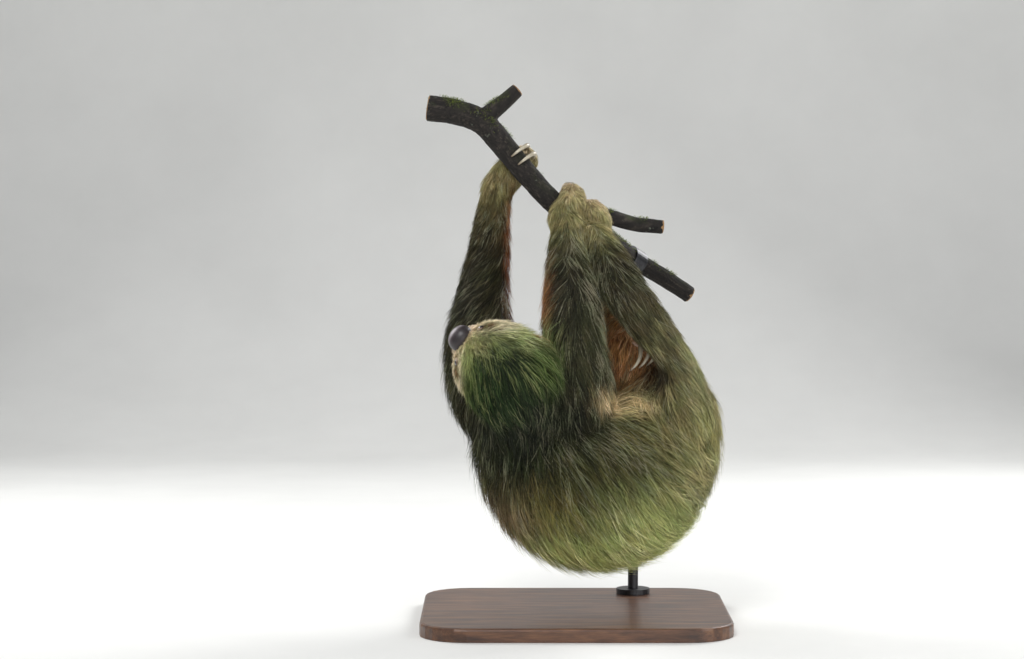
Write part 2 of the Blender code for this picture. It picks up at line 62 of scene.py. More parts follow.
# ---------------------------------------------------------------- body
# Each station: x y z, coat radius, skin radius, hair length, hair width (all in millimetres),
# the way the hair lies (x y z), how much it fans out sideways, and the colour (0 to 255)
STATIONS = {
    "trunk": [
        (-69, -10, 320, 84, 58, 72, 1.15, -0.05, -0.10, -1.0, 0.10, 46, 48, 32),
        (-51, -12, 260, 108, 78, 84, 1.15, 0.05, -0.05, -1.0, 0.06, 62, 60, 40),
        (-1, -14, 213, 130, 98, 92, 1.1, 0.50, 0.0, -0.80, 0.12, 84, 80, 48),
        (58, -14, 212, 130, 98, 92, 1.1, 0.75, 0.0, -0.68, 0.12, 96, 92, 56),
        (115, -12, 256, 104, 76, 84, 1.1, 0.90, 0.0, -0.50, 0.12, 132, 124, 82),
        (139, -10, 297, 82, 56, 70, 1.15, 0.80, 0.0, -0.60, 0.10, 126, 110, 76),
    ],
    "neck": [
        (-88, -104, 362, 50, 32, 66, 1.1, 0.10, -0.10, -1.0, 0.15, 42, 52, 32),
        (-78, -86, 332, 64, 40, 76, 1.1, 0.10, -0.10, -1.0, 0.15, 38, 44, 28),
        (-70, -50, 306, 76, 48, 80, 1.15, 0.12, -0.05, -1.0, 0.10, 42, 44, 30),
        (-64, -24, 285, 78, 50, 80, 1.15, 0.20, 0.0, -1.0, 0.10, 48, 46, 31),
    ],
    "arm_left": [
        (-100, 12, 331, 66, 46, 70, 1.1, -0.20, 0.0, -1.0, 0.10, 62, 60, 42),
        (-126, 30, 340, 68, 46, 72, 1.1, -0.25, 0.0, -1.0, 0.10, 62, 60, 42),
        (-142, 46, 415, 58, 37, 66, 1.05, -0.55, -0.1, -0.85, 0.10, 62, 58, 42),
        (-137, 53, 490, 43, 27, 48, 1.0, -0.85, -0.1, -0.55, 0.10, 62, 58, 42),
        (-127, 51, 575, 32.5, 21, 36, 0.95, -0.60, -0.1, -0.85, 0.10, 80, 70, 48),
        (-118.5, 46, 652, 23.5, 16.5, 24, 0.8, -0.05, 0.0, -1.0, 0.10, 158, 138, 96),
    ],
    "arm_right": [
        (-31, -33, 331, 66, 46, 72, 1.1, 0.10, 0.0, -1.0, 0.10, 56, 56, 38),
        (0, -52, 340, 62, 42, 70, 1.1, 0.25, 0.0, -1.0, 0.15, 64, 62, 43),
        (-3, -82, 415, 51, 32, 60, 1.05, 0.25, 0.0, -0.95, 0.35, 76, 74, 52),
        (-5.5, -86, 470, 47, 29, 54, 1.0, -0.15, 0.0, -0.98, 0.60, 64, 60, 46),
        (-11, -58, 540, 36, 22.5, 44, 0.95, -0.05, 0.0, -1.0, 0.55, 92, 86, 60),
        (-11, -31, 594, 25.5, 17.5, 30, 0.85, 0.05, 0.0, -1.0, 0.30, 168, 154, 108),
    ],
    "leg_left": [
        (130, 20, 330, 66, 46, 72, 1.1, 0.30, 0.2, -1.0, 0.10, 78, 62, 44),
        (130, 40, 342, 64, 43, 70, 1.1, 0.20, 0.1, -1.0, 0.10, 66, 48, 36),
        (70, 68, 378, 63, 51, 50, 1.05, -0.10, 0.1, -1.0, 0.10, 112, 100, 66),
        (15, 76, 408, 47, 37, 44, 1.0, -0.30, 0.1, -1.0, 0.10, 104, 94, 64),
        (46, 60, 450, 39, 30, 34, 0.95, -0.60, 0.0, -0.80, 0.10, 128, 108, 74),
        (88, 24, 468, 26, 20, 24, 0.8, -0.60, 0.1, -0.70, 0.10, 150, 122, 84),
    ],
    "leg_right": [
        (150, -28, 306, 62, 44, 72, 1.1, 0.50, -0.1, -0.85, 0.10, 128, 114, 78),
        (159, -40, 312, 56, 39, 70, 1.1, 0.50, -0.1, -0.85, 0.10, 138, 126, 88),
        (150, -66, 392, 29, 19, 56, 1.05, 0.70, -0.1, -0.70, 0.10, 118, 106, 74),
        (87, -74, 479, 35, 23, 52, 1.0, 0.62, -0.1, -0.75, 0.10, 72, 66, 48),
        (51, -56, 532, 37, 24, 42, 0.95, 0.50, -0.1, -0.85, 0.10, 84, 78, 54),
        (31, -31, 572, 31, 21, 30, 0.85, 0.30, 0.0, -1.0, 0.15, 144, 132, 90),
    ],
}
CHEEK = [
    (-12, 23, -8, 46, 29, 42, 0.85, 0, 0, -1, 0, 176, 178, 122),
    (14, 27, -10, 34, 25, 17, 0.62, 0, 0, -1, 0, 244, 228, 196),
    (37, 25, -9, 23.5, 17.0, 11, 0.50, 0, 0, -1, 0, 246, 226, 194),
    (57, 17.0, -10, 14.0, 12.4, 4, 0.42, 0, 0, -1, 0, 238, 212, 184),
]
# Stations in the head's own frame: forward, left, up, then the same columns as above. The right
# brow is a little fuller than the left one.
HEAD_STATIONS = {
    "head": [
        (-50, 0, 0, 67, 42, 80, 1.0, 0, 0, -1, 0, 46, 60, 34),
        (-14, 0, 2, 56, 40, 66, 0.95, 0, 0, -1, 0, 70, 90, 44),
        (8, 0, -1, 43, 36, 34, 0.80, 0, 0, -1, 0, 162, 166, 104),
        (22, 0, -3, 35.5, 31, 17, 0.60, 0, 0, -1, 0, 222, 208, 150),
        (32, 0, -4, 27.5, 25.6, 6, 0.46, 0, 0, -1, 0, 196, 168, 156),
        (40, 0, -4, 21.6, 20.6, 3, 0.40, 0, 0, -1, 0, 92, 76, 80),
        (48, 0, -4, 19.0, 18.2, 2.2, 0.36, 0, 0, -1, 0, 66, 53, 58),
        (60, 0, -5, 15.5, 14.8, 2.0, 0.36, 0, 0, -1, 0, 50, 40, 45),
    ],
    "orbit_left": [
        (-48, 16, 0, 62, 38, 78, 1.0, 0, 0, -1, 0, 52, 68, 38),
        (-14, 20, 3, 50, 33, 46, 0.90, 0, 0, -1, 0, 100, 118, 64),
        (9, 25, 2, 34, 27.5, 14, 0.60, 0, 0, -1, 0, 242, 224, 190),
        (33, 21, 5.0, 17.2, 15.0, 6, 0.44, 0, 0, -1, 0, 242, 220, 184),
    ],
    "orbit_right": [
        (-48, -16, 0, 62, 38, 78, 1.0, 0, 0, -1, 0, 52, 68, 38),
        (-14, -21, 3, 52, 33, 46, 0.90, 0, 0, -1, 0, 100, 118, 64),
        (9, -25, 2, 34, 27.5, 14, 0.60, 0, 0, -1, 0, 242, 224, 190),
        (33, -21, 5.0, 17.2, 15.0, 6, 0.44, 0, 0, -1, 0, 242, 220, 184),
    ],
    "cheek_left": CHEEK,
    "cheek_right": [(ahead, -left, *rest) for ahead, left, *rest in CHEEK],
    "jaw": [
        (-10, 0, -24, 26, 18, 24, 0.9, 0, 0, -1, 0, 150, 140, 90),
        (24, 0, -25, 16, 13.5, 9, 0.55, 0, 0, -1, 0, 222, 204, 162),
        (50, 0, -27.5, 12.5, 11.2, 4.5, 0.42, 0, 0, -1, 0, 205, 184, 160),
        (56, 0, -26.5, 10, 9, 3.5, 0.40, 0, 0, -1, 0, 176, 156, 146),
    ],
}
TRUNK_DEPTH = 0.92  # the trunk's depth over its height
SKULL = np.array((-0.124, -0.084, 0.397))
FORWARD = np.array((-0.701, 0.500, 0.502)) / np.linalg.norm((-0.701, 0.500, 0.502))
LEFT = np.array((-0.580, 0.0, -0.810))
LEFT = LEFT - LEFT @ FORWARD * FORWARD
LEFT = LEFT / np.linalg.norm(LEFT)
UP = np.cross(FORWARD, LEFT)
HEAD_TURN = np.array((FORWARD, LEFT, UP))
WHORL = np.array((0.052, 0.0, 0.012))  # where the head's hair spreads from, in the head's frame
HEAD_DROOP = (0, 0, -0.30)  # how much the head's hair hangs

EYE_PLACE = np.array((0.0358, 0.0288, 0.0146))
EYE_GAZE = np.array((0.40, 0.66, 0.60))
EYE_RADIUS = 0.0071
EYE_OPENING = (math.radians(56), math.radians(39))
NOSE_PLACE = np.array((0.0615, 0.0, 0.0062))
NOSE_HALF_SIZES = (0.0185, 0.0205, 0.0175)
EAR_PLACE = np.array((-0.0200, 0.0560, 0.0020))
EAR_HALF_SIZES = (0.0150, 0.0190)

# Branch and forks: x y z and radius in millimetres
BRANCH = [
    (-220.5, 30, 772.5, 20.0),
    (-180, 27, 766.5, 19.2),
    (-139.5, 22, 751, 18.8),
    (-105, 18, 712.5, 17.8),
    (-67.5, 10, 667.5, 16.8),
    (-30, 4, 628.5, 16.2),
    (10.5, 20, 603, 15.6),
    (54, 80, 571, 15.0),
    (94.5, 140, 541.5, 14.6),
    (139.5, 163, 514.5, 14.0),
    (184, 176, 485, 13.0),
]
UPPER_FORK = [(-143, 22, 753, 15.0), (-113, 26, 776, 12.6), (-86.5, 32, 799.5, 10.8)]
SIDE_FORK = [
    (-8, 11, 614, 14.0),
    (43, 38, 611, 12.0),
    (90, 60, 598, 11.2),
    (135, 66, 593, 10.8),
]
# Each grip: its limb, its place along the branch's stations, the side of the branch it comes up
# on, half the paw's width, how far it folds over, the claws' places across it and their angles
GRIPS = {
    "hand_left": ("arm_left", 3.46, (0, 1, 0), 0.0070, 0.0, (-0.008, 0.008), 66, -92),
    "hand_right": ("arm_right", 5.28, (0, -1, 0), 0.0070, 1.0, (-0.008, 0.008), 8, -142),
    "foot_right": ("leg_right", 6.08, (0, -1, 0), 0.0110, 0.8, (-0.0125, 0, 0.0125), 16, -128),
}
FREE_TOES = np.array((0.106, -0.026, 0.430))
FREE_SPREAD = np.array((0.0125, 0.0, 0.0040))
FREE_CURL = np.array(
    ((-1, -1, 7), (3, -8, -8), (3, -11, -24), (-3, -9, -37), (-11, -3, -46))
) * MM
CLAW_ROOT, CLAW_TIP, CLAW_CLEARANCE = 0.0046, 0.0011, 0.0008
FREE_CLAW_SHARE = 0.84  # thickness of the free foot's claws against the gripping ones
CLAW_TAPER = 1.3
CLAW_STATIONS = 7  # of a hooked claw, and the steps between two of them
CLAW_SIDES = 20

# Patches of colour: middle, half sizes (millimetres), colour (0 to 255) and strength. Some are painted
# light and some painted shade, as marked.
PATCHES = [
    ((-80, -120, 262), (75, 110, 58), (34, 42, 26), 0.85),
    ((8, -120, 300), (60, 90, 50), (36, 38, 26), 0.85),
    ((30, -130, 215), (60, 70, 34), (70, 64, 34), 0.60),
    ((-38, -110, 172), (55, 100, 40), (142, 128, 70), 0.80),
    # The pale lower trunk: partly the coat's own pale tone, partly painted light on its underside
    ((10, -60, 98), (130, 170, 50), (214, 214, 138), 0.92),
    ((118, -55, 146), (90, 170, 66), (216, 218, 144), 0.92),
    ((190, -40, 265), (44, 170, 80), (186, 176, 122), 0.85),
    ((176, -70, 392), (26, 110, 60), (170, 162, 120), 0.85),
    ((-100, -60, 150), (46, 130, 50), (164, 138, 110), 0.75),
    ((128, -95, 450), (26, 80, 45), (124, 116, 84), 0.60),
    # Rust of the belly's crook: its own colour, painted brighter as painted light in the shaded gap
    ((64, 0, 410), (52, 52, 66), (240, 166, 112), 0.96),
    # Painted light: the belly's tan, painted much paler as a lit strip
    ((68, -72, 335), (46, 60, 18), (250, 216, 166), 0.94),
    # Painted shade: the dark shaded inner side of the right thigh
    ((120, -74, 370), (28, 46, 26), (32, 24, 19), 0.92),
    ((-93, 45, 540), (13, 70, 110), (150, 80, 46), 0.90),
    ((-54, -80, 470), (16, 50, 75), (192, 120, 74), 0.90),
    ((30, -60, 590), (40, 60, 26), (168, 154, 106), 0.70),
]
# The same for the head's coat. The first three are painted light on its top and right side and painted
# shade below.
HEAD_PATCHES = [
    # Painted light on the head's top
    ((-72, -110, 438), (46, 80, 24), (206, 212, 148), 0.82),
    # Painted shade on the head's lower side
    ((-112, -140, 340), (60, 60, 36), (42, 60, 34), 0.75),
    # Painted light on the head's upper right side
    ((-40, -100, 385), (30, 90, 48), (112, 130, 70), 0.60),
    ((-148, -120, 424), (26, 46, 17), (206, 198, 142), 0.80),
    ((-166, -122, 396), (15, 50, 26), (176, 174, 108), 0.65),
    ((-112, -100, 459), (40, 80, 18), (248, 230, 200), 0.95),
    ((-178, -90, 378), (12, 60, 42), (248, 230, 200), 0.95),
]
PALE_STRAND = (186, 180, 158)
HEAD_STRAND = (190, 194, 132)
GUARD_SHARE = 0.11  # of pale guard hairs everywhere
# Where more of them gather: middle, half sizes (millimetres) and share
GUARD_PLACES = [
    ((4, -80, 570), (22, 70, 28), 0.45),
    ((24, -90, 500), (8, 70, 45), 0.50),
    ((40, -100, 430), (8, 70, 45), 0.45),
    ((52, -110, 375), (8, 70, 35), 0.30),
    ((80, -120, 270), (80, 60, 40), 0.14),
    ((20, -90, 540), (60, 60, 40), 0.20),
    ((-145, -115, 410), (48, 60, 42), 0.30),
]

SPAN_STEPS = 5  # short straight lengths between two stations of the body
HEAD_SPAN_STEPS = 4  # and between two stations of the head or of a paw
COLUMNS = {"coat": 3, "skin": 4, "length": 5, "width": 6, "lie": slice(7, 10), "fan": 10}
COLOUR = slice(11, 14)


def linear(colour):
    """Screen colour values from 0 to 255 as linear light."""
    share = np.asarray(colour, float) / 255
    return np.where(share <= 0.04045, share / 12.92, ((share + 0.055) / 1.055) ** 2.4)


def unit(vectors):
    """Each row at length one."""
    vectors = np.asarray(vectors, float)
    return vectors / np.maximum(np.linalg.norm(vectors, axis=-1, keepdims=True), 1e-9)


def smooth_step(low, high, values):
    """0 below low and 1 above high, with a soft S between them."""
    share = np.clip((values - low) / (high - low), 0, 1)
    return share * share * (3 - 2 * share)


def resample(rows, steps):
    """Rows joined by a Catmull-Rom curve: each span is a cubic through its four nearest rows."""
    rows = np.asarray(rows, float)
    padded = np.vstack((2 * rows[0] - rows[1], rows, 2 * rows[-1] - rows[-2]))
    share = np.linspace(0, 1, steps, endpoint=False)[None, :, None]
    a, b, c, d = (padded[i : i + len(rows) - 1, None] for i in range(4))
    curve = 0.5 * (
        2 * b
        + (c - a) * share
        + (2 * a - 5 * b + 4 * c - d) * share**2
        + (3 * b - a - 3 * c + d) * share**3
    )
    return np.vstack((curve.reshape(-1, rows.shape[1]), rows[-1:]))


def on_head(places):
    """Places in the head's frame (forward, left, up) as places in the model's frame."""
    return SKULL + np.asarray(places) @ HEAD_TURN


def in_head(places):
    """Places in the model's frame as places in the head's frame."""
    return (places - SKULL) @ HEAD_TURN.T


def branch_at(along):
    """Place, radius and direction of the branch at a fractional station number."""
    rows = np.array(BRANCH) * MM
    index = min(int(along), len(rows) - 2)
    row = rows[index] + (rows[index + 1] - rows[index]) * (along - index)
    return row[:3], row[3], unit(rows[index + 1, :3] - rows[index, :3])


def grip_frame(along, side):
    """The branch's place, radius and direction, with unit vectors to the side and over the top."""
    place, radius, direction = branch_at(along)
    side = np.asarray(side, float)
    sideways = unit(side - side @ direction * direction)
    over = np.cross(direction, sideways)
    return place, radius, direction, sideways, over if over[2] > 0 else -over


def paw_row(place, radii, hair, lie, colour):
    """One station of a paw in metres, with its coat and skin radii and its hair's length and width."""
    return (*place, *radii, *hair, *lie, 0.1, *colour)


def paw_chains():
    """The chains of the three gripping paws and of the free foot, digit by digit."""
    chains = {}
    down = (0, 0, -1)
    for name, (limb, along, side, half, arch, offsets, _, _) in GRIPS.items():
        place, radius, direction, sideways, over = grip_frame(along, side)
        last = np.array(STATIONS[limb][-1], float)
        wrist, thick = last[:3] * MM, last[4] * MM * 0.86
        beside = place + sideways * (radius + 0.014) - over * 0.012
        knuckle = place + sideways * (radius * (1 - 0.35 * arch) + 0.0110) + over * 0.014
        crest = place + sideways * 0.020 * (1 - arch) + over * (radius + 0.002 + 0.0125 * arch)
        clawless = 0.0 if len(offsets) == 2 else -0.0260  # one more digit, which fills out the paw
        for number, offset in enumerate((*offsets, clawless)):
            slide = direction * offset * half / abs(offsets[0])
            tip = 0.0072 + 0.002 * arch if number < len(offsets) else 0.0060
            chains[f"{name}_{number}"] = [
                paw_row(
                    wrist + slide * 0.3, (thick + 0.0080, thick), (0.028, 8e-4), down, (168, 152, 108)
                ),
                paw_row(beside + slide, (0.0205, 0.0135), (0.030, 7.5e-4), down, (182, 164, 118)),
                paw_row(knuckle + slide, (0.0160, 0.0104), (0.022, 6.5e-4), down, (196, 176, 132)),
                paw_row(crest + slide, (tip + 0.0036, tip), (0.012, 5e-4), down, (208, 182, 150)),
            ]
    ankle = np.array(STATIONS["leg_left"][-1][:3]) * MM
    middle = ankle * 0.4 + FREE_TOES * 0.6 + (0.004, -0.006, 0.002)
    back = unit(ankle - FREE_TOES)
    for number, share in enumerate((-1, 0, 1)):
        toe = FREE_TOES + FREE_SPREAD * share
        chains[f"foot_left_{number}"] = [
            paw_row(ankle, (0.0245, 0.0180), (0.018, 8e-4), back, (110, 74, 50)),
            paw_row(
                middle + FREE_SPREAD * share * 0.3, (0.0185, 0.0155), (0.013, 7e-4), back, (104, 72, 52)
            ),
            paw_row(toe, (0.0108, 0.0092), (0.009, 6e-4), back, (104, 74, 56)),
            paw_row(toe + (0, -0.003, -0.004), (0.0075, 0.0064), (0.006, 5e-4), back, (110, 78, 60)),
        ]
    return chains


def body_chains():
    """Every chain of the body by name: rows in metres, resampled into short straight lengths."""
    chains = {}
    for name, rows in STATIONS.items():
        rows = np.array(rows, float)
        rows[:, :7] *= MM
        chains[name] = resample(rows, SPAN_STEPS)
    for name, rows in HEAD_STATIONS.items():
        rows = np.array(rows, float)
        rows[:, :7] *= MM
        rows[:, :3] = on_head(rows[:, :3])
        chains[name] = resample(rows, HEAD_SPAN_STEPS)
    for name, rows in paw_chains().items():
        chains[name] = resample(rows, HEAD_SPAN_STEPS)
    for rows in chains.values():
        rows[:, COLOUR] = linear(np.clip(rows[:, COLOUR], 0, 255))
    return chains


CHAINS = body_chains()
CHAIN_NAMES = list(CHAINS)
HEAD_NAMES = tuple(HEAD_STATIONS)
MELT = 0.014  # how far from a crease two body chains still melt together
PAW_MELT = 0.004
WEIGHT_FALL = 0.005  # distance over which a chain's weight falls by a factor of e
THINNEST_COAT = 0.0008  # least depth of the coat, before the cut round the eyes
EYE_FUR_REACH = (0.016, 0.012, 0.014)  # half sizes of the short fur round each eye
EYE_FUR_CUT = {"length": 0.72, "width": 0.35, "depth": 0.86}  # how much less it is there


def melted(first, second, reach):
    """The lesser of two distances, rounded off where they differ by less than reach."""
    share = np.clip(reach - np.abs(first - second), 0, None) / reach
    return np.minimum(first, second) - share * share * reach / 4


BOXES = {
    name: ((rows[:, :3] - rows[:, 4:5]).min(0), (rows[:, :3] + rows[:, 4:5]).max(0))
    for name, rows in CHAINS.items()
}
FAR = 0.045  # chains farther than this from a block of points are left out


def near_chains(points):
    """The chains whose boxes lie near the points' box."""
    low, high = points.min(0), points.max(0)
    apart = {
        name: np.linalg.norm(np.maximum(np.maximum(box[0] - high, low - box[1]), 0))
        for name, box in BOXES.items()
    }
    reach = max(FAR, min(apart.values()) + FAR)
    return [index for index, name in enumerate(CHAIN_NAMES) if apart[name] <= reach]


def survey_block(points):
    """survey() for one block of points."""
    gap = coat_gap = None
    near = []
    used = near_chains(points)
    for index in used:
        name = CHAIN_NAMES[index]
        rows = CHAINS[name]
        squeeze = np.array((1, 1 / TRUNK_DEPTH if name == "trunk" else 1, 1))
        middle = np.array((0, rows[0, 1], 0)) * (squeeze != 1)
        start = (rows[:-1, :3] - middle) * squeeze
        step = (rows[1:, :3] - middle) * squeeze - start
        radius, growth = rows[:-1, 4], np.diff(rows[:, 4])
        place = (points - middle) * squeeze
        offset = place[:, None] - start
        share = np.clip((offset * step).sum(2) / (step * step).sum(1), 0, 1)
        offset = offset - share[..., None] * step
        far = np.sqrt((offset * offset).sum(2))
        best = np.argmin(far - radius - share * growth, axis=1)
        pick = (np.arange(len(points)), best)
        share, far, offset = share[pick], far[pick], offset[pick]
        row = rows[best] + (rows[best + 1] - rows[best]) * share[:, None]
        axis = unit(step[best])
        toward = unit(offset * squeeze)
        skin_distance, coat_distance = far - row[:, 4], far - row[:, 3]
        reach = PAW_MELT if name.split("_")[0] in ("hand", "foot") else MELT
        if gap is None:
            gap, coat_gap = skin_distance, coat_distance
        else:
            gap = melted(gap, skin_distance, reach)
            coat_gap = melted(coat_gap, coat_distance, reach)
        near.append((skin_distance, row, toward, (best + share) / (len(rows) - 1), axis))
    distances = np.array([item[0] for item in near])
    weights = np.exp(-(distances - distances.min(0)) / WEIGHT_FALL)
    weights /= weights.sum(0)
    row = sum(w[:, None] * item[1] for w, item in zip(weights, near))
    normal = unit(sum(w[:, None] * item[2] for w, item in zip(weights, near)))
    nearest = distances.argmin(0)
    pick = (nearest, np.arange(len(points)))
    along = np.array([item[3] for item in near])[pick]
    axis = np.array([item[4] for item in near])[pick]
    out = np.array([item[2] for item in near])[pick]
    front = unit(np.array((0, -1, 0)) + axis * axis[:, 1:2])
    around = np.arctan2((np.cross(axis, front) * out).sum(1), (front * out).sum(1))
    of_head = np.array([CHAIN_NAMES[index] in HEAD_NAMES for index in used])
    place = in_head(points)
    from_eye = np.stack((place[:, 0], np.abs(place[:, 1]), place[:, 2]), 1) - EYE_PLACE
    close = np.exp(-(((from_eye / EYE_FUR_REACH) ** 2).sum(1) ** 2))
    for column in ("length", "width"):
        row[:, COLUMNS[column]] *= 1 - EYE_FUR_CUT[column] * close
    return {
        "gap": gap,
        "depth": np.maximum(gap - coat_gap, THINNEST_COAT) * (1 - EYE_FUR_CUT["depth"] * close),
        "normal": normal,
        "row": row,
        "nearest": np.array(used)[nearest],
        "along": along,
        "around": around,
        "head": weights[of_head].sum(0),
    }


def survey(points, block=2500):
    """Where points lie on the body.

    The distance to a chain is the distance to its nearest straight length, less the radius there.
    Chains melt together where their distances are alike. The normal, the hair and the colour are
    means over the chains, weighted by a falling exponential of the distance. Around the eyes the
    coat is shorter by a bell. The points are taken in blocks of neighbours. The result holds the
    distance to the skin (gap), the coat's depth, the normal, the mean station (row), the nearest
    chain with the place along and around it, and the share that belongs to the head.
    """
    points = np.asarray(points, float)
    cells = np.floor(points / 0.05).astype(int)
    order = np.lexsort((cells[:, 1], cells[:, 0], cells[:, 2]))
    parts = [survey_block(points[order[i : i + block]]) for i in range(0, len(points), block)]
    back = np.argsort(order)
    return {key: np.concatenate([part[key] for part in parts])[back] for key in parts[0]}


def lie_of_hair(points, found):
    """Unit vectors along the skin, the way the hair lies at points.

    The stations' direction, fanned out sideways from the chain, and on the head straight away from
    the whorl and a little downwards. The part that points out of the skin is taken away.
    """
    normal = found["normal"]
    lie = found["row"][:, COLUMNS["lie"]].copy()
    lie[:, 0] += found["row"][:, COLUMNS["fan"]] * normal[:, 0]
    whorl = unit(points - on_head(WHORL)) + HEAD_DROOP
    head = found["head"][:, None]
    lie = lie * (1 - head) + whorl * head
    lie = lie - (lie * normal).sum(1, keepdims=True) * normal
    return unit(lie + 1e-6)


def blend_patches(colour, points, patches, weight):
    """Blends patches into colours: each patch's share falls off from its middle as a bell."""
    for middle, half_sizes, tint, strength in patches:
        away = (points - np.array(middle) * MM) / (np.array(half_sizes) * MM)
        share = strength * weight * np.exp(-((away * away).sum(1) ** 1.5))
        colour += (linear(tint) - colour) * share[:, None]
    return colour


# Brown streak through each eye, in the head's frame with the left side's numbers
EYE_STREAK = [
    ((21, 44, 25), (13, 10, 10), (116, 74, 46), 0.95),
    ((27, 38, 17), (12, 9, 11), (120, 78, 50), 0.96),
    ((33, 32, 16), (10, 8, 10), (98, 62, 42), 0.98),
    ((43, 23, 14), (8, 6, 7), (150, 106, 84), 0.85),
    ((36, 29, 15), (7, 7, 7), (54, 36, 30), 0.95),
]


def markings(points, found):
    """The coat's colour at points: the stations' colour, patches of other colours, some of them painted
    light and shade, and the face.
    """
    colour = found["row"][:, COLOUR].copy()
    head = found["head"]
    blend_patches(colour, points, PATCHES, 1 - head)
    place = in_head(points)
    blend_patches(colour, points, HEAD_PATCHES, head * smooth_step(0.050, 0.036, place[:, 0]))
    mirrored = np.stack((place[:, 0], np.abs(place[:, 1]), place[:, 2]), 1)
    return blend_patches(colour, mirrored, EYE_STREAK, head)


# ---------------------------------------------------------------- meshes
def mesh_object(name, points, *faces):
    """An object whose mesh holds points and arrays of triangles or quads, shaded smooth."""
    mesh = bpy.data.meshes.new(name)
    points = np.asarray(points, np.float32)
    faces = [np.asarray(block, np.int32) for block in faces if len(block)]
    corners = np.concatenate([block.ravel() for block in faces])
    sizes = np.concatenate([np.full(len(block), block.shape[1]) for block in faces])
    mesh.vertices.add(len(points))
    mesh.vertices.foreach_set("co", points.ravel())
    mesh.loops.add(len(corners))
    mesh.loops.foreach_set("vertex_index", corners)
    mesh.polygons.add(len(sizes))
    mesh.polygons.foreach_set("loop_start", np.concatenate(([0], np.cumsum(sizes)[:-1])))
    mesh.polygons.foreach_set("use_smooth", np.full(len(sizes), True))
    mesh.update(calc_edges=True)
    mesh.validate()
    obj = bpy.data.objects.new(name, mesh)
    bpy.context.scene.collection.objects.link(obj)
    return obj


def grid_quads(rows, columns, closed=True, start=0):
    """Quads between neighbouring rows and columns of a grid, whose columns may close on themselves."""
    row = np.arange(rows - 1)[:, None] * columns
    column = np.arange(columns if closed else columns - 1)[None, :]
    after = (column + 1) % columns
    quads = np.stack((row + column, row + after, row + columns + after, row + columns + column), 2)
    return quads.reshape(-1, 4) + start


def capped_tube(grid):
    """Points, quads and end triangles of a closed tube given as rings of points."""
    rows, columns = grid.shape[:2]
    points = np.vstack((grid.reshape(-1, 3), grid[0].mean(0), grid[-1].mean(0)))
    column = np.arange(columns)
    after = (column + 1) % columns
    first, last = rows * columns, rows * columns + 1
    end = (rows - 1) * columns
    caps = np.vstack(
        (
            np.stack((np.full(columns, first), after, column), 1),
            np.stack((np.full(columns, last), end + column, end + after), 1),
        )
    )
    return points, grid_quads(rows, columns), caps


def path_frames(path):
    """Two unit vectors across a path at each of its points that turn as little as possible."""
    tangent = unit(np.gradient(path, axis=0))
    across = np.cross(tangent[0], (0.3, 0.2, 1.0))
    sides = []
    for direction in tangent:
        across = unit(across - across @ direction * direction)
        sides.append(across)
    sides = np.array(sides)
    return sides, np.cross(tangent, sides)


def swept(path, radii, columns, shape=None):
    """Rings of points around a path: radius times a profile of the angle, ring by ring."""
    side, other = path_frames(path)
    angle = np.linspace(0, TAU, columns, endpoint=False)[None, :, None]
    radius = np.asarray(radii)[:, None] * (np.ones((len(path), columns)) if shape is None else shape)
    ring = np.cos(angle) * side[:, None] + np.sin(angle) * other[:, None]
    return path[:, None] + ring * radius[..., None]


def rounded_tube(rows, columns=24, cap=5):
    """A tube with half-round ends through rows of (x, y, z, radius)."""
    rows = np.asarray(rows, float)
    start, end = rows[0], rows[-1]
    first, last = unit(rows[0, :3] - rows[1, :3]), unit(rows[-1, :3] - rows[-2, :3])
    turn = np.linspace(np.pi / 2 * 0.94, 0, cap, endpoint=False)

    def half_round(row, out):
        return np.stack([(*(row[:3] + out * row[3] * np.sin(a)), row[3] * np.cos(a)) for a in turn])

    rows = np.vstack((half_round(start, first), rows, half_round(end, last)[::-1]))
    return capped_tube(swept(rows[:, :3], rows[:, 3], columns))


def joined(name, shells):
    """One object from several (points, quads, triangles) shells."""
    points, quads, triangles, start = [], [], [], 0
    for shell_points, shell_quads, shell_triangles in shells:
        points.append(shell_points)
        quads.append(np.asarray(shell_quads) + start)
        triangles.append(np.asarray(shell_triangles) + start)
        start += len(shell_points)
    return mesh_object(name, np.vstack(points), np.vstack(quads), np.vstack(triangles))


def apply_modifiers(obj):
    """Gives obj the mesh that its modifiers make, and takes the modifiers off."""
    bpy.context.view_layer.update()
    graph = bpy.context.evaluated_depsgraph_get()
    mesh = bpy.data.meshes.new_from_object(obj.evaluated_get(graph))
    old = obj.data
    obj.modifiers.clear()
    obj.data = mesh
    bpy.data.meshes.remove(old)
    mesh.name = obj.name


def points_of(obj):
    """The object's vertices as rows."""
    points = np.zeros(len(obj.data.vertices) * 3, np.float32)
    obj.data.vertices.foreach_get("co", points)
    return points.reshape(-1, 3).astype(float)


def set_points(obj, points):
    """Moves the object's vertices."""
    obj.data.vertices.foreach_set("co", np.asarray(points, np.float32).ravel())
    obj.data.update()


def melt_shells(obj, voxel, smoothing):
    """One closed skin around the object's overlapping shells."""
    remesh = obj.modifiers.new("melt", "REMESH")
    remesh.mode = "VOXEL"
    remesh.voxel_size = voxel
    smooth = obj.modifiers.new("soften", "SMOOTH")
    smooth.iterations = smoothing
    apply_modifiers(obj)


def add_attribute(obj, name, kind, values, domain="POINT"):
    """Stores values in a mesh attribute. Colours get an alpha of one."""
    layer = obj.data.attributes.new(name, kind, domain)
    values = np.asarray(values, np.float32)
    if kind == "FLOAT_COLOR":
        values = np.hstack((values, np.ones((len(values), 1), np.float32)))
        layer.data.foreach_set("color", values.ravel())
    elif kind == "FLOAT_VECTOR":
        layer.data.foreach_set("vector", values.ravel())
    else:
        layer.data.foreach_set("value", values.ravel())


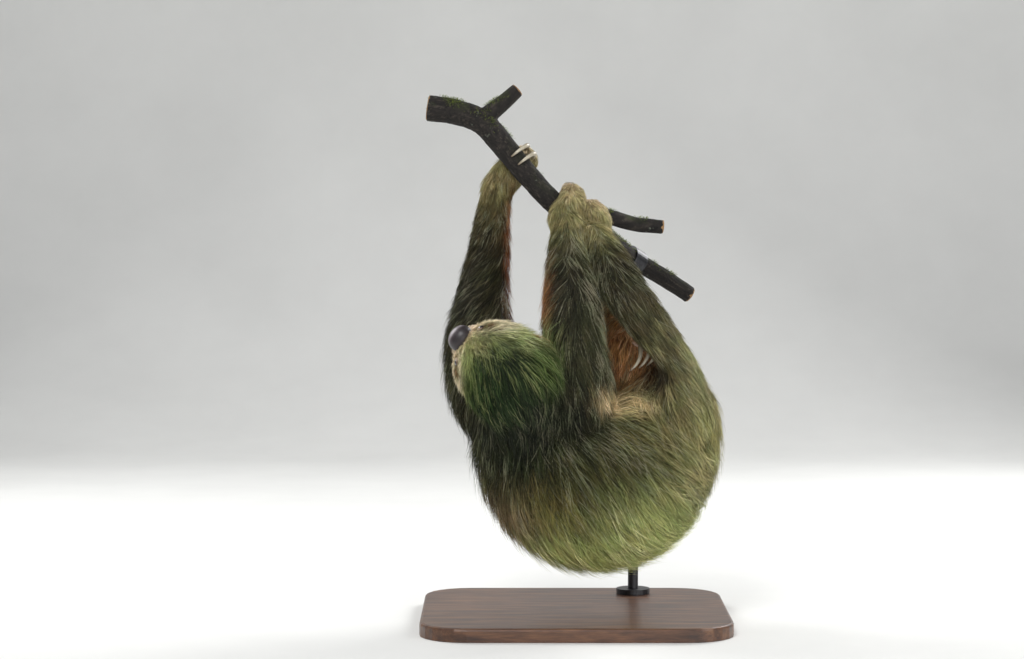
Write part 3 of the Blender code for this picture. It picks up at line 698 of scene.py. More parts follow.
def finish_piece(obj, material, nodes=()):
    """Gives a piece its material, its body and the CAD nodes that it stands for."""
    obj.data.materials.clear()
    obj.data.materials.append(material)
    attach(obj, "root")
    if nodes:
        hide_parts(*nodes)
    return obj


# ---------------------------------------------------------------- materials
def node(tree, kind, place=(0, 0), **values):
    """A new node, with inputs or properties set by name."""
    made = tree.nodes.new(kind)
    made.location = place
    for key, value in values.items():
        if key in made.inputs:
            made.inputs[key].default_value = value
        else:
            setattr(made, key, value)
    return made


def new_group(name, inputs, outputs):
    """A shader node group, its input node and its output node.

    Inputs are (name, socket kind, default) and outputs (name, socket kind).
    """
    tree = bpy.data.node_groups.new(name, "ShaderNodeTree")
    for label, kind, value in inputs:
        socket = tree.interface.new_socket(label, in_out="INPUT", socket_type=kind)
        socket.default_value = value
    for label, kind in outputs:
        tree.interface.new_socket(label, in_out="OUTPUT", socket_type=kind)
    return tree, node(tree, "NodeGroupInput"), node(tree, "NodeGroupOutput", (900, 0))


def group_mottle():
    """Noise on Object coordinates at a scale and stretch, as a value around a half."""
    tree, given, out = new_group(
        "mottle",
        (("Scale", "NodeSocketFloat", 40.0), ("Stretch", "NodeSocketVector", (1, 1, 1))),
        (("Value", "NodeSocketFloat"),),
    )
    link = tree.links.new
    coordinates = node(tree, "ShaderNodeTexCoord")
    stretch = node(tree, "ShaderNodeVectorMath", operation="MULTIPLY")
    noise = node(tree, "ShaderNodeTexNoise", Detail=4.0, Roughness=0.6)
    link(coordinates.outputs["Object"], stretch.inputs[0])
    link(given.outputs["Stretch"], stretch.inputs[1])
    link(stretch.outputs[0], noise.inputs["Vector"])
    link(given.outputs["Scale"], noise.inputs["Scale"])
    link(noise.outputs["Fac"], out.inputs["Value"])
    return tree


def use_group(tree, group, **values):
    """A node group placed in a material, with its inputs set."""
    made = node(tree, "ShaderNodeGroup")
    made.node_tree = group
    for key, value in values.items():
        made.inputs[key].default_value = value
    return made


def new_material(name, **values):
    """A material with its Principled shader's inputs set, its node tree and the shader."""
    made = bpy.data.materials.new(name)
    made.use_nodes = True
    shader = made.node_tree.nodes["Principled BSDF"]
    for key, value in values.items():
        shader.inputs[key.replace("_", " ")].default_value = value
    return made, made.node_tree, shader


def ramp(tree, stops):
    """A colour ramp with (position, linear colour) stops."""
    made = node(tree, "ShaderNodeValToRGB")
    band = made.color_ramp
    while len(band.elements) < len(stops):
        band.elements.new(0.5)
    for element, (position, colour) in zip(band.elements, stops):
        element.position = position
        element.color = (*colour, 1.0)
    return made


def mix_colour(tree, kind, factor, first, second):
    """A colour mix node: numbers and colours are set, sockets are linked."""
    made = node(tree, "ShaderNodeMix", data_type="RGBA", blend_type=kind)
    for socket, value in ((0, factor), (6, first), (7, second)):
        if isinstance(value, bpy.types.NodeSocket):
            tree.links.new(value, made.inputs[socket])
        else:
            made.inputs[socket].default_value = value
    return made.outputs[2]


def add_bump(tree, shader, height, strength, distance):
    """A bump from a height value, linked to the shader's normal."""
    bump = node(tree, "ShaderNodeBump", Strength=strength, Distance=distance)
    tree.links.new(height, bump.inputs["Height"])
    tree.links.new(bump.outputs["Normal"], shader.inputs["Normal"])


def attribute(tree, name):
    """A mesh attribute's node."""
    return node(tree, "ShaderNodeAttribute", attribute_name=name)


def vary_roughness(tree, shader, value, low, high):
    """Roughness between low and high by a value from 0 to 1."""
    rough = node(tree, "ShaderNodeMapRange")
    rough.inputs["To Min"].default_value = low
    rough.inputs["To Max"].default_value = high
    tree.links.new(value, rough.inputs["Value"])
    tree.links.new(rough.outputs[0], shader.inputs["Roughness"])


def paint(tree, shader, tone, shade, factor):
    """Base colour: a tone, multiplied by a shade by the factor."""
    colour = mix_colour(tree, "MULTIPLY", factor, tone.outputs[0], shade.outputs[0])
    tree.links.new(colour, shader.inputs["Base Color"])


def coat_material(mottle_group):
    """Hair: markings darker at the root as painted shade, paler at the tip, with grey and tan along it.
    """
    made, tree, shader = new_material(
        "coat_hair", Roughness=0.66, Specular_IOR_Level=0.14, Sheen_Weight=0.04
    )
    link = tree.links.new
    marks = attribute(tree, "markings")
    strand = attribute(tree, "strand")
    split = node(tree, "ShaderNodeSeparateXYZ")
    link(strand.outputs["Vector"], split.inputs[0])
    # Darker at the root: painted shade deep in the coat. Paler at the tip: bleached hair ends.
    length = ramp(tree, ((0.0, (0.34,) * 3), (0.40, (0.82,) * 3), (1.0, (1.22,) * 3)))
    link(split.outputs[0], length.inputs[0])
    colour = mix_colour(tree, "MULTIPLY", 1.0, marks.outputs["Color"], length.outputs[0])
    mottle = use_group(tree, mottle_group, Scale=34.0)
    algae = ramp(tree, ((0.40, (0.78, 0.98, 0.68)), (0.62, (1.08, 1.06, 0.90))))
    link(mottle.outputs[0], algae.inputs[0])
    clean = node(tree, "ShaderNodeMapRange")
    for label, value in (("From Min", 0.55), ("From Max", 0.70), ("To Min", 0.60), ("To Max", 0.05)):
        clean.inputs[label].default_value = value
    link(marks.outputs["Fac"], clean.inputs["Value"])
    colour = mix_colour(tree, "MULTIPLY", clean.outputs[0], colour, algae.outputs[0])
    link(colour, shader.inputs["Base Color"])
    vary_roughness(tree, shader, split.outputs[1], 0.52, 0.74)
    return made


def skin_material(mottle_group):
    """Skin: the coat's markings, darkened under long hair as painted shade, with short fur as fine
    bump.
    """
    made, tree, shader = new_material("skin_with_short_fur", Roughness=0.7, Specular_IOR_Level=0.3)
    link = tree.links.new
    marks = attribute(tree, "markings")
    fine = use_group(tree, mottle_group, Scale=900.0, Stretch=(1, 1, 0.35))
    tone = ramp(tree, ((0.25, (0.60,) * 3), (0.75, (1.15,) * 3)))
    link(fine.outputs[0], tone.inputs[0])
    colour = mix_colour(tree, "MULTIPLY", 0.8, marks.outputs["Color"], tone.outputs[0])
    link(colour, shader.inputs["Base Color"])
    add_bump(tree, shader, fine.outputs[0], 0.5, 0.0006)
    return made


def nose_material(mottle_group):
    """Damp dark leather with a fine pebbled grain, and a painted wet highlight as a greyish pink rim.
    """
    made, tree, shader = new_material("nose_leather", Roughness=0.44, Coat_Weight=0.30)
    shader.inputs["Coat Roughness"].default_value = 0.30
    link = tree.links.new
    coordinates = node(tree, "ShaderNodeTexCoord")
    pebbles = node(tree, "ShaderNodeTexVoronoi", Scale=1100.0)
    link(coordinates.outputs["Object"], pebbles.inputs["Vector"])
    rim = attribute(tree, "rim")
    # The rim value paints a pale wet highlight round the front of the nose; the back is a little paler
    # too
    tone = ramp(
        tree,
        ((0.0, linear((34, 25, 28))), (0.5, linear((54, 43, 47))), (1.0, linear((122, 112, 116)))),
    )
    link(rim.outputs["Fac"], tone.inputs[0])
    mottle = use_group(tree, mottle_group, Scale=260.0)
    shade = ramp(tree, ((0.3, (0.72,) * 3), (0.7, (1.2,) * 3)))
    link(mottle.outputs[0], shade.inputs[0])
    paint(tree, shader, tone, shade, 0.8)
    add_bump(tree, shader, pebbles.outputs["Distance"], 0.45, 0.0005)
    return made


def eye_material():
    """Dark brown eye: pupil, iris and edge by the angle from the gaze, under a clear wet coat."""
    made, tree, shader = new_material("eye_wet", Roughness=0.10, Coat_Weight=1.0)
    shader.inputs["Coat Roughness"].default_value = 0.03
    link = tree.links.new
    ring = attribute(tree, "ring")
    tone = ramp(
        tree,
        (
            (0.0, (0.002, 0.002, 0.002)),
            (0.13, (0.003, 0.002, 0.002)),
            (0.17, linear((74, 44, 26))),
            (0.33, linear((46, 28, 18))),
            (0.38, (0.004, 0.003, 0.003)),
            (0.46, linear((112, 92, 80))),
        ),
    )
    link(ring.outputs["Fac"], tone.inputs[0])
    link(tone.outputs[0], shader.inputs["Base Color"])
    return made


def ear_material(mottle_group):
    """Thin bare ear skin, tan pink and faintly veined."""
    made, tree, shader = new_material("ear_skin", Roughness=0.6)
    link = tree.links.new
    mottle = use_group(tree, mottle_group, Scale=300.0)
    tone = ramp(tree, ((0.3, linear((104, 76, 58))), (0.7, linear((158, 122, 96)))))
    link(mottle.outputs[0], tone.inputs[0])
    link(tone.outputs[0], shader.inputs["Base Color"])
    add_bump(tree, shader, mottle.outputs[0], 0.3, 0.0006)
    return made


def claw_material(mottle_group):
    """Horn: grey tan along the claw, paler at the tip, with lengthwise streaks and worn gloss."""
    made, tree, shader = new_material("claw_horn", Roughness=0.38, Coat_Weight=0.15)
    link = tree.links.new
    along = attribute(tree, "along")
    tone = ramp(
        tree,
        (
            (0.0, linear((112, 92, 72))),
            (0.35, linear((150, 138, 114))),
            (0.8, linear((192, 184, 164))),
            (1.0, linear((120, 104, 84))),
        ),
    )
    link(along.outputs["Fac"], tone.inputs[0])
    streak = use_group(tree, mottle_group, Scale=420.0, Stretch=(1, 1, 0.3))
    shade = ramp(tree, ((0.3, (0.70,) * 3), (0.7, (1.12,) * 3)))
    link(streak.outputs[0], shade.inputs[0])
    paint(tree, shader, tone, shade, 0.8)
    vary_roughness(tree, shader, streak.outputs[0], 0.28, 0.55)
    add_bump(tree, shader, streak.outputs[0], 0.25, 0.0004)
    return made


def bark_material(mottle_group):
    """Dark wet bark with grey crusts of lichen and green algae on the upper side."""
    made, tree, shader = new_material("bark", Roughness=0.86, Specular_IOR_Level=0.35)
    link = tree.links.new
    relief = attribute(tree, "relief")
    top = attribute(tree, "top")
    tone = ramp(
        tree,
        ((0.2, linear((16, 14, 13))), (0.55, linear((36, 32, 29))), (0.9, linear((74, 67, 60)))),
    )
    link(relief.outputs["Fac"], tone.inputs[0])
    crust = use_group(tree, mottle_group, Scale=75.0)
    crust_mask = ramp(tree, ((0.66, (0, 0, 0)), (0.72, (0.8,) * 3)))
    link(crust.outputs[0], crust_mask.inputs[0])
    lichen = (*linear((104, 108, 96)), 1.0)
    colour = mix_colour(tree, "MIX", crust_mask.outputs[0], tone.outputs[0], lichen)
    algae = use_group(tree, mottle_group, Scale=28.0)
    green = node(tree, "ShaderNodeMath", operation="MULTIPLY")
    green_mask = ramp(tree, ((0.50, (0, 0, 0)), (0.68, (0.6,) * 3)))
    link(algae.outputs[0], green_mask.inputs[0])
    link(green_mask.outputs[0], green.inputs[0])
    link(top.outputs["Fac"], green.inputs[1])
    moss = (*linear((52, 60, 28)), 1.0)
    colour = mix_colour(tree, "MIX", green.outputs[0], colour, moss)
    link(colour, shader.inputs["Base Color"])
    fine = use_group(tree, mottle_group, Scale=420.0)
    add_bump(tree, shader, fine.outputs[0], 0.7, 0.0012)
    return made


def cut_wood_material():
    """Freshly sawn end: growth rings around the pith."""
    made, tree, shader = new_material("cut_wood", Roughness=0.75)
    link = tree.links.new
    rings = attribute(tree, "rings")
    wave = node(tree, "ShaderNodeMath", operation="SINE")
    scale = node(tree, "ShaderNodeMath", operation="MULTIPLY")
    scale.inputs[1].default_value = 55.0
    link(rings.outputs["Fac"], scale.inputs[0])
    link(scale.outputs[0], wave.inputs[0])
    shift = node(tree, "ShaderNodeMapRange")
    shift.inputs["From Min"].default_value = -1.0
    link(wave.outputs[0], shift.inputs["Value"])
    tone = ramp(tree, ((0.0, linear((142, 110, 72))), (1.0, linear((190, 158, 112)))))
    link(shift.outputs[0], tone.inputs[0])
    link(tone.outputs[0], shader.inputs["Base Color"])
    add_bump(tree, shader, shift.outputs[0], 0.2, 0.0003)
    return made


def moss_material():
    """Small bright moss shoots."""
    made, tree, shader = new_material("moss", Roughness=0.8)
    strand = attribute(tree, "strand")
    split = node(tree, "ShaderNodeSeparateXYZ")
    tone = ramp(tree, ((0.0, linear((34, 44, 16))), (1.0, linear((126, 140, 52)))))
    tree.links.new(strand.outputs["Vector"], split.inputs[0])
    tree.links.new(split.outputs[0], tone.inputs[0])
    tree.links.new(tone.outputs[0], shader.inputs["Base Color"])
    return made


def wood_material(mottle_group):
    """Dark oiled walnut: long grain lines and pores, under a thin satin coat."""
    made, tree, shader = new_material("stand_walnut", Roughness=0.4, Coat_Weight=0.2)
    shader.inputs["Coat Roughness"].default_value = 0.25
    link = tree.links.new
    grain = use_group(tree, mottle_group, Scale=10.0, Stretch=(1, 9, 6))
    fine = use_group(tree, mottle_group, Scale=60.0, Stretch=(0.6, 14, 8))
    tone = ramp(
        tree,
        ((0.30, linear((52, 32, 22))), (0.48, linear((86, 56, 38))), (0.70, linear((122, 84, 56)))),
    )
    link(grain.outputs[0], tone.inputs[0])
    shade = ramp(tree, ((0.35, (0.62,) * 3), (0.6, (1.1,) * 3)))
    link(fine.outputs[0], shade.inputs[0])
    paint(tree, shader, tone, shade, 0.7)
    vary_roughness(tree, shader, fine.outputs[0], 0.30, 0.52)
    add_bump(tree, shader, fine.outputs[0], 0.15, 0.0004)
    return made


def metal_material(mottle_group):
    """Blackened steel with fine drawn lines and faint rubbed patches."""
    made, tree, shader = new_material("stand_blackened_steel", Roughness=0.4, Metallic=0.9)
    link = tree.links.new
    lines = use_group(tree, mottle_group, Scale=240.0, Stretch=(1, 1, 0.06))
    tone = ramp(tree, ((0.3, (0.030, 0.030, 0.032)), (0.7, (0.062, 0.062, 0.066))))
    link(lines.outputs[0], tone.inputs[0])
    link(tone.outputs[0], shader.inputs["Base Color"])
    vary_roughness(tree, shader, lines.outputs[0], 0.28, 0.52)
    add_bump(tree, shader, lines.outputs[0], 0.1, 0.0002)
    return made


MATERIALS = {}


def materials():
    """All the object's materials by name, made once."""
    if not MATERIALS:
        mottle = group_mottle()
        MATERIALS.update(
            coat=coat_material(mottle),
            skin=skin_material(mottle),
            nose=nose_material(mottle),
            eye=eye_material(),
            ear=ear_material(mottle),
            claw=claw_material(mottle),
            bark=bark_material(mottle),
            cut_wood=cut_wood_material(),
            moss=moss_material(),
            wood=wood_material(mottle),
            metal=metal_material(mottle),
        )
    return MATERIALS


# ---------------------------------------------------------------- skin and face
FLESH = (
    "head",
    "neck",
    "trunk",
    *(f"{part}_{side}" for part in ("upper_arm", "forearm", "hand") for side in ("left", "right")),
    *(f"{part}_{side}" for part in ("thigh", "shank", "foot") for side in ("left", "right")),
)


def eye_frame(sign):
    """Eye's middle, gaze, the direction along the lids and the one across them, for one side."""
    mirror = (1, sign, 1)
    middle = on_head(EYE_PLACE * mirror)
    gaze = unit((EYE_GAZE * mirror) @ HEAD_TURN)
    along = np.array((0.80, -0.42 * sign, -0.10)) @ HEAD_TURN
    along = unit(along - along @ gaze * gaze)
    across = np.cross(gaze, along)
    return middle, gaze, along, across if across @ UP > 0 else -across


def eye_angles(points, sign):
    """Points seen from the eye's middle: angles along and across the lids, distance, direction."""
    middle, gaze, along, across = eye_frame(sign)
    away = points - middle
    far = np.linalg.norm(away, axis=1)
    out = away / np.maximum(far, 1e-9)[:, None]
    tilt = np.arccos(np.clip(out @ gaze, -1, 1))
    flat = np.stack((out @ along, out @ across), 1)
    flat = unit(flat) * tilt[:, None]
    return flat[:, 0], flat[:, 1], far, out


def opening_edge(angle):
    """Half opening of the lids in a direction: an almond, pointed at both corners."""
    wide, high = EYE_OPENING
    return 1 / np.sqrt((np.cos(angle) / wide) ** 2 + (np.abs(np.sin(angle)) ** 1.25 / high) ** 2)


FINE_STARTS = (0.012, 0.018)  # each division reaches from this far in front of the skull's middle
FACE_HALF_SIZES = (0.045, 0.050)  # sideways and up
FACE_REACH = 0.095  # from the skull's middle
LONGEST_STEP = 0.004  # the most that a point of the skin moves at once
EYE_GAP = 0.0009  # between the eyeball and the skin beside it
SOCKET_REACH = 0.014  # skin farther from the eye's middle isn't sunk
MOUTH_LINE, MOUTH_LINE_WIDTH = -0.0200, 0.0014
MOUTH_COLOUR = (70, 48, 44)
SOLE_COLOUR = (206, 176, 158)


def face_relief(points):
    """Folds of the face, as a push along the normal in metres.

    Sums of bell curves in the head's frame: the crease behind the nose, the mouth's line and its
    lips, the hollow before each eye and fine wrinkles over the muzzle.
    """
    place = in_head(points)
    ahead, side, above = place[:, 0], np.abs(place[:, 1]), place[:, 2]
    muzzle = smooth_step(0.012, 0.030, ahead)

    def bell(value, middle, width):
        return np.exp(-(((value - middle) / width) ** 2))

    push = -0.0011 * bell(ahead, 0.0565, 0.0016) * smooth_step(-0.024, -0.010, above)
    push += 0.0008 * bell(ahead, 0.0530, 0.0020) * smooth_step(-0.024, -0.010, above)
    mouth = -0.0205 + 0.0045 * smooth_step(0.034, 0.016, ahead)
    reach = smooth_step(0.014, 0.022, ahead) * smooth_step(0.004, 0.010, side)
    push -= 0.0024 * bell(above, mouth, 0.0011) * reach
    push += 0.0010 * bell(above, mouth + 0.0030, 0.0018) * reach
    push += 0.0008 * bell(above, mouth - 0.0028, 0.0016) * reach
    push -= 0.0015 * bell(ahead, 0.047, 0.006) * bell(side, 0.019, 0.006) * bell(above, 0.008, 0.006)
    push += 0.0004 * np.sin(ahead * 2600) * bell(ahead, 0.048, 0.008) * smooth_step(-0.01, 0.006, above)
    return push * muzzle


def refine_face(skin):
    """Divides the skin's faces twice over the face and triangulates the larger ones."""
    shape = bmesh.new()
    shape.from_mesh(skin.data)
    for start in FINE_STARTS:
        middles = np.array([(e.verts[0].co + e.verts[1].co) / 2 for e in shape.edges])
        place = in_head(middles)
        near = (place[:, 0] > start) & (np.linalg.norm(place, axis=1) < FACE_REACH)
        near &= (np.abs(place[:, 1:]) < FACE_HALF_SIZES).all(1)
        shape.edges.ensure_lookup_table()
        edges = [shape.edges[i] for i in np.nonzero(near)[0]]
        bmesh.ops.subdivide_edges(shape, edges=edges, cuts=1, use_grid_fill=True, smooth=0.0)
    bmesh.ops.triangulate(shape, faces=[f for f in shape.faces if len(f.verts) > 4])
    shape.to_mesh(skin.data)
    shape.free()


def open_eyes(points):
    """Sinks the skin behind each eye within the lids' opening and lifts it just off the eyeball."""
    lift = EYE_RADIUS + EYE_GAP
    for sign in (1, -1):
        flat_along, flat_across, far, out = eye_angles(points, sign)
        middle = eye_frame(sign)[0]
        tilt = np.hypot(flat_along, flat_across)
        edge = opening_edge(np.arctan2(flat_across, flat_along))
        inside = (tilt < edge * 1.02) & (far < SOCKET_REACH)
        beside = ~inside & (far < lift) & (tilt < 1.9)
        points[inside] = middle + out[inside] * EYE_RADIUS * 0.45
        points[beside] = middle + out[beside] * lift
    return points


def skin_colours(points):
    """The markings, darkened under long hair as painted shade, with the mouth's line and the bare
    soles.
    """
    found = survey(points)
    colour = markings(points, found)
    ahead, side, above = in_head(points).T
    # Painted shade: the skin is darker where the coat over it is deep
    under = smooth_step(0.004, 0.016, found["depth"])
    colour *= (1 - 0.55 * under)[:, None]
    line = np.exp(-(((above - MOUTH_LINE) / MOUTH_LINE_WIDTH) ** 2)) * smooth_step(0.018, 0.030, ahead)
    line *= found["head"] * smooth_step(0.004, 0.010, np.abs(side))
    colour += (linear(MOUTH_COLOUR) - colour) * (0.8 * line)[:, None]
    return colour + (linear(SOLE_COLOUR) - colour) * bareness(points, found)[:, None]


def make_skin(voxel):
    """The whole skin in one closed surface.

    Rounded tubes along the chains are melted together, the face is divided finer, and every point
    is then moved along the normal until the survey's distance to the skin is nought.
    """
    shells = [rounded_tube(rows[:, (0, 1, 2, 4)]) for rows in CHAINS.values()]
    skin = joined("skin", shells)
    melt_shells(skin, voxel, 2)
    refine_face(skin)
    points = points_of(skin)
    for _ in range(3):
        found = survey(points)
        points -= found["normal"] * np.clip(found["gap"], -LONGEST_STEP, LONGEST_STEP)[:, None]
    set_points(skin, points)
    smooth = skin.modifiers.new("soften", "SMOOTH")
    smooth.iterations = 2
    apply_modifiers(skin)
    points = points_of(skin)
    found = survey(points)
    points += found["normal"] * (face_relief(points) * found["head"])[:, None]
    points = open_eyes(points)
    set_points(skin, points)
    add_attribute(skin, "markings", "FLOAT_COLOR", skin_colours(points))
    return skin


PAW_REACH = 0.05  # a gripping sole is bare this near to the branch's middle line


def of_chain(start):
    """Which chains' names begin with start."""
    return np.array([name.startswith(start) for name in CHAIN_NAMES])


def bareness(points, found):
    """How bare the skin is: one on the soles, which face the branch or the free claws."""
    bare = np.zeros(len(points))
    for name, (_, along, side, *_) in GRIPS.items():
        place, _, direction, _, _ = grip_frame(along, side)
        away = points - place
        away = away - (away @ direction)[:, None] * direction
        far = np.linalg.norm(away, axis=1)
        facing = -(found["normal"] * unit(away)).sum(1)
        share = 0.9 if name == "hand_right" else 0.3
        here = share * of_chain(name)[found["nearest"]] * smooth_step(0.3, 0.8, facing)
        bare = np.maximum(bare, here * (far < PAW_REACH))
    free = of_chain("foot_left")[found["nearest"]]
    facing = found["normal"] @ unit((-0.5, -0.2, -0.8))
    return np.maximum(bare, free * smooth_step(0.35, 0.8, facing))


# The lid's section from its edge outwards: angle from the edge and height over the eyeball (mm)
LID_SECTION = [
    (0.02, 0.0),
    (-0.02, 0.15),
    (-0.03, 0.7),
    (0.0, 1.15),
    (0.05, 1.3),
    (0.12, 1.35),
    (0.20, 1.2),
    (0.28, 0.95),
    (0.36, 1.15),
    (0.46, 1.2),
    (0.58, 0.9),
    (0.72, 0.2),
]
LID_DEPTH = 0.0004  # how far the lids reach into the eyeball


def make_lids(sign):
    """The two lids of one eye as a closed ring: a lid's section carried round the almond opening.

    Around the ring the section starts inside the edge, rounds over it, and runs outwards along a
    sphere a little wider than the eye, with a shallow fold, until it dips under the skin.
    """
    middle, gaze, along, across = eye_frame(sign)
    angle = np.linspace(0, TAU, 96, endpoint=False)
    edge = opening_edge(angle)
    upper = smooth_step(-0.2, 0.6, np.sin(angle))
    out, rise = np.array(LID_SECTION).T[..., None]
    tilt = edge[None] + out
    height = EYE_RADIUS + rise * MM * (0.8 + 0.35 * upper[None])
    flat = np.cos(angle)[:, None] * along + np.sin(angle)[:, None] * across
    ring = np.cos(tilt)[..., None] * gaze + np.sin(tilt)[..., None] * flat
    outer = middle + ring * height[..., None]
    inner = middle + ring[::-1] * (EYE_RADIUS - LID_DEPTH)
    grid = np.concatenate((outer, inner))
    rows, columns = grid.shape[:2]
    quads = grid_quads(rows, columns)
    close = np.stack(
        (
            (rows - 1) * columns + np.arange(columns),
            (rows - 1) * columns + (np.arange(columns) + 1) % columns,
            (np.arange(columns) + 1) % columns,
            np.arange(columns),
        ),
        1,
    )
    return grid.reshape(-1, 3), np.vstack((quads, close)), np.zeros((0, 3), int)


def outward(obj):
    """Turns the faces of a closed mesh outwards."""
    shape = bmesh.new()
    shape.from_mesh(obj.data)
    bmesh.ops.recalc_face_normals(shape, faces=shape.faces)
    shape.to_mesh(obj.data)
    shape.free()


def ball(rows, columns):
    """Polar and round angles of a sphere's grid, without its two poles."""
    polar = np.linspace(0, np.pi, rows + 2)[1:-1, None]
    angle = np.linspace(0, TAU, columns, endpoint=False)[None]
    return polar + 0 * angle, angle + 0 * polar


def capped_ball(grid, first, last):
    """A closed ball from a grid of rings and its two poles."""
    points, quads, caps = capped_tube(grid)
    points[-2], points[-1] = first, last
    return points, quads, caps


def make_eye(sign):
    """An eyeball: a sphere about the gaze whose front bulges with a cornea."""
    middle, gaze, along, across = eye_frame(sign)
    polar, angle = ball(38, 56)
    bulge = 1 + 0.05 * np.exp(-((polar / 0.62) ** 4))
    out = np.cos(polar)[..., None] * gaze
    out = out + (np.sin(polar) * np.cos(angle))[..., None] * along
    out = out + (np.sin(polar) * np.sin(angle))[..., None] * across
    grid = middle + out * (EYE_RADIUS * bulge)[..., None]
    shell = capped_ball(grid, middle + gaze * EYE_RADIUS * 1.05, middle - gaze * EYE_RADIUS)
    eye = joined(f"eye_{'left' if sign > 0 else 'right'}_ball", [shell])
    away = unit(points_of(eye) - middle) @ gaze
    add_attribute(eye, "ring", "FLOAT", np.arccos(np.clip(away, -1, 1)) / np.pi)
    outward(eye)
    return eye


NOSTRIL = (0.74, 0.50, -0.30)  # its direction from the nose's middle: forward, to the side, up
NOSTRIL_DEPTH, NOSTRIL_WIDTH, NOSTRIL_LIP = 0.36, 0.20, 0.07  # as shares of the nose's radius


def make_nose():
    """The bare nose: an ellipsoid flattened in front, with two pits, a groove and a rolled rim."""
    polar, angle = ball(90, 128)
    ahead, left, up = np.cos(polar), np.sin(polar) * np.cos(angle), np.sin(polar) * np.sin(angle)
    out = np.stack((ahead, left, up), 2)

    def bell(place, width):
        away = np.linalg.norm((out - unit(place)) * (1, 1, 1.35), axis=2)
        return np.exp(-((away / width) ** 2))

    size = np.ones_like(polar)
    for side in (1, -1):
        pit = unit(np.array(NOSTRIL) * (1, side, 1))
        size -= NOSTRIL_DEPTH * bell(pit, NOSTRIL_WIDTH)
        size += NOSTRIL_LIP * bell(pit, 2 * NOSTRIL_WIDTH)
        slit = np.exp(-(((up + 0.30 - 0.25 * (left * side)) / 0.09) ** 2))
        size -= 0.06 * slit * smooth_step(0.55, 0.85, left * side)
    groove = np.exp(-((left / 0.07) ** 2)) * smooth_step(0.2, 0.8, ahead) * smooth_step(0.5, -0.1, up)
    size -= 0.09 * groove
    size -= 0.05 * smooth_step(0.75, 1.0, ahead)
    grid = out * np.array(NOSE_HALF_SIZES) * size[..., None]
    grid = on_head(grid + NOSE_PLACE)
    half = NOSE_HALF_SIZES[0]
    shell = capped_ball(
        grid,
        on_head(NOSE_PLACE + (half * 0.93, 0, 0)),
        on_head(NOSE_PLACE - (half, 0, 0)),
    )
    nose = joined("nose_leather", [shell])
    place = in_head(points_of(nose)) - NOSE_PLACE
    front = place[:, 0] / NOSE_HALF_SIZES[0]
    # A band round the front is a painted wet highlight; the back of the nose is a little paler too
    rim = np.exp(-(((front - 0.50) / 0.28) ** 2)) + 0.25 * smooth_step(-0.35, -0.85, front)
    add_attribute(nose, "rim", "FLOAT", rim)
    outward(nose)
    return nose


def make_ear(sign):
    """A small round ear: a dish whose rim rolls over, with a ridge inside, doubled into a wall."""
    name = f"ear_{'left' if sign > 0 else 'right'}_shell"
    radial = np.linspace(0.04, 1, 22)[:, None]
    angle = np.linspace(0, TAU, 64, endpoint=False)[None]
    across, tall = EAR_HALF_SIZES
    first = radial * np.cos(angle) * across
    second = radial * np.sin(angle) * tall
    dish = -0.0055 * (1 - radial**2) + 0.0022 * np.exp(-(((radial - 0.86) / 0.10) ** 2))
    dish = dish + 0.0014 * np.exp(-(((radial - 0.5) / 0.10) ** 2)) * (np.cos(angle) > -0.2)
    wall = 0.0016 * (1 - 0.6 * radial)
    sides = []
    for offset in (wall, -wall):
        place = np.stack((first + EAR_PLACE[0], dish + offset + 0 * angle, second + EAR_PLACE[2]), 2)
        place[..., 1] = sign * (place[..., 1] + EAR_PLACE[1])
        sides.append(place)
    grid = on_head(np.concatenate((sides[0], sides[1][::-1])))
    ear = joined(name, [capped_tube(grid)])
    outward(ear)
    return ear


# ---------------------------------------------------------------- coat
# For hairs of four and of three nodes: each node's height in the coat and its share of the hair's
# length, each ring's share of the width, and how far each node is pulled to the lock's middle hair
HEIGHTS = {4: (0.0, 0.52, 0.84, 1.0), 3: (0.0, 0.72, 1.0)}
SHARES = {4: (0.0, 0.30, 0.36, 0.34), 3: (0.0, 0.55, 0.45)}
WIDTHS = {4: (1.0, 0.78), 3: (1.0,)}
PULLS = {4: (0.0, 0.22, 0.46, 0.64), 3: (0.0, 0.25, 0.45)}
FARTHEST_RIGHT = 0.2285  # the coat ends within the stand's width
PATCH = 0.003  # the width of a tuft's patch on the bake map
CHAIN_MARGIN = 0.002  # between two chains on the bake map
PIECE_TRIANGLES = 196000  # the most in one piece of the coat
DOWNWARD = 0.10  # how much more each step of a hair turns downwards
STRAY_SHARE = 0.085  # share of the hairs that stand out from their lock
LONG_HAIR = 0.013  # longer hairs have one more step
ROOT_DEPTH = 0.0006  # how far under the skin a hair is rooted


def grow(points, found, length, fill, bend, nodes):
    """Paths of hairs from points: steps along the lie, each then moved to its height in the coat."""
    path = [points]
    place = points
    for step in range(1, nodes):
        lie = lie_of_hair(place, found)
        side = np.cross(found["normal"], lie)
        behind = found["head"] * smooth_step(0.020, -0.040, in_head(place)[:, 0])
        rise = (0.55 if step == 1 else 0.12) + 0.45 * behind
        heading = lie + found["normal"] * rise[:, None] + side * bend[:, None] * step
        heading[:, 2] -= DOWNWARD * step
        place = place + unit(heading) * (length * SHARES[nodes][step])[:, None]
        found = survey(place)
        target = found["depth"] * HEIGHTS[nodes][step] * fill
        lack = target - found["gap"]
        loose = 0.55 - 0.42 * found["head"]
        lack = np.where(lack < 0, loose * lack, 0.92 * lack)
        place = place + found["normal"] * lack[:, None]
        place[:, 0] = np.minimum(place[:, 0], FARTHEST_RIGHT)
        path.append(place)
    return np.stack(path, 1), found


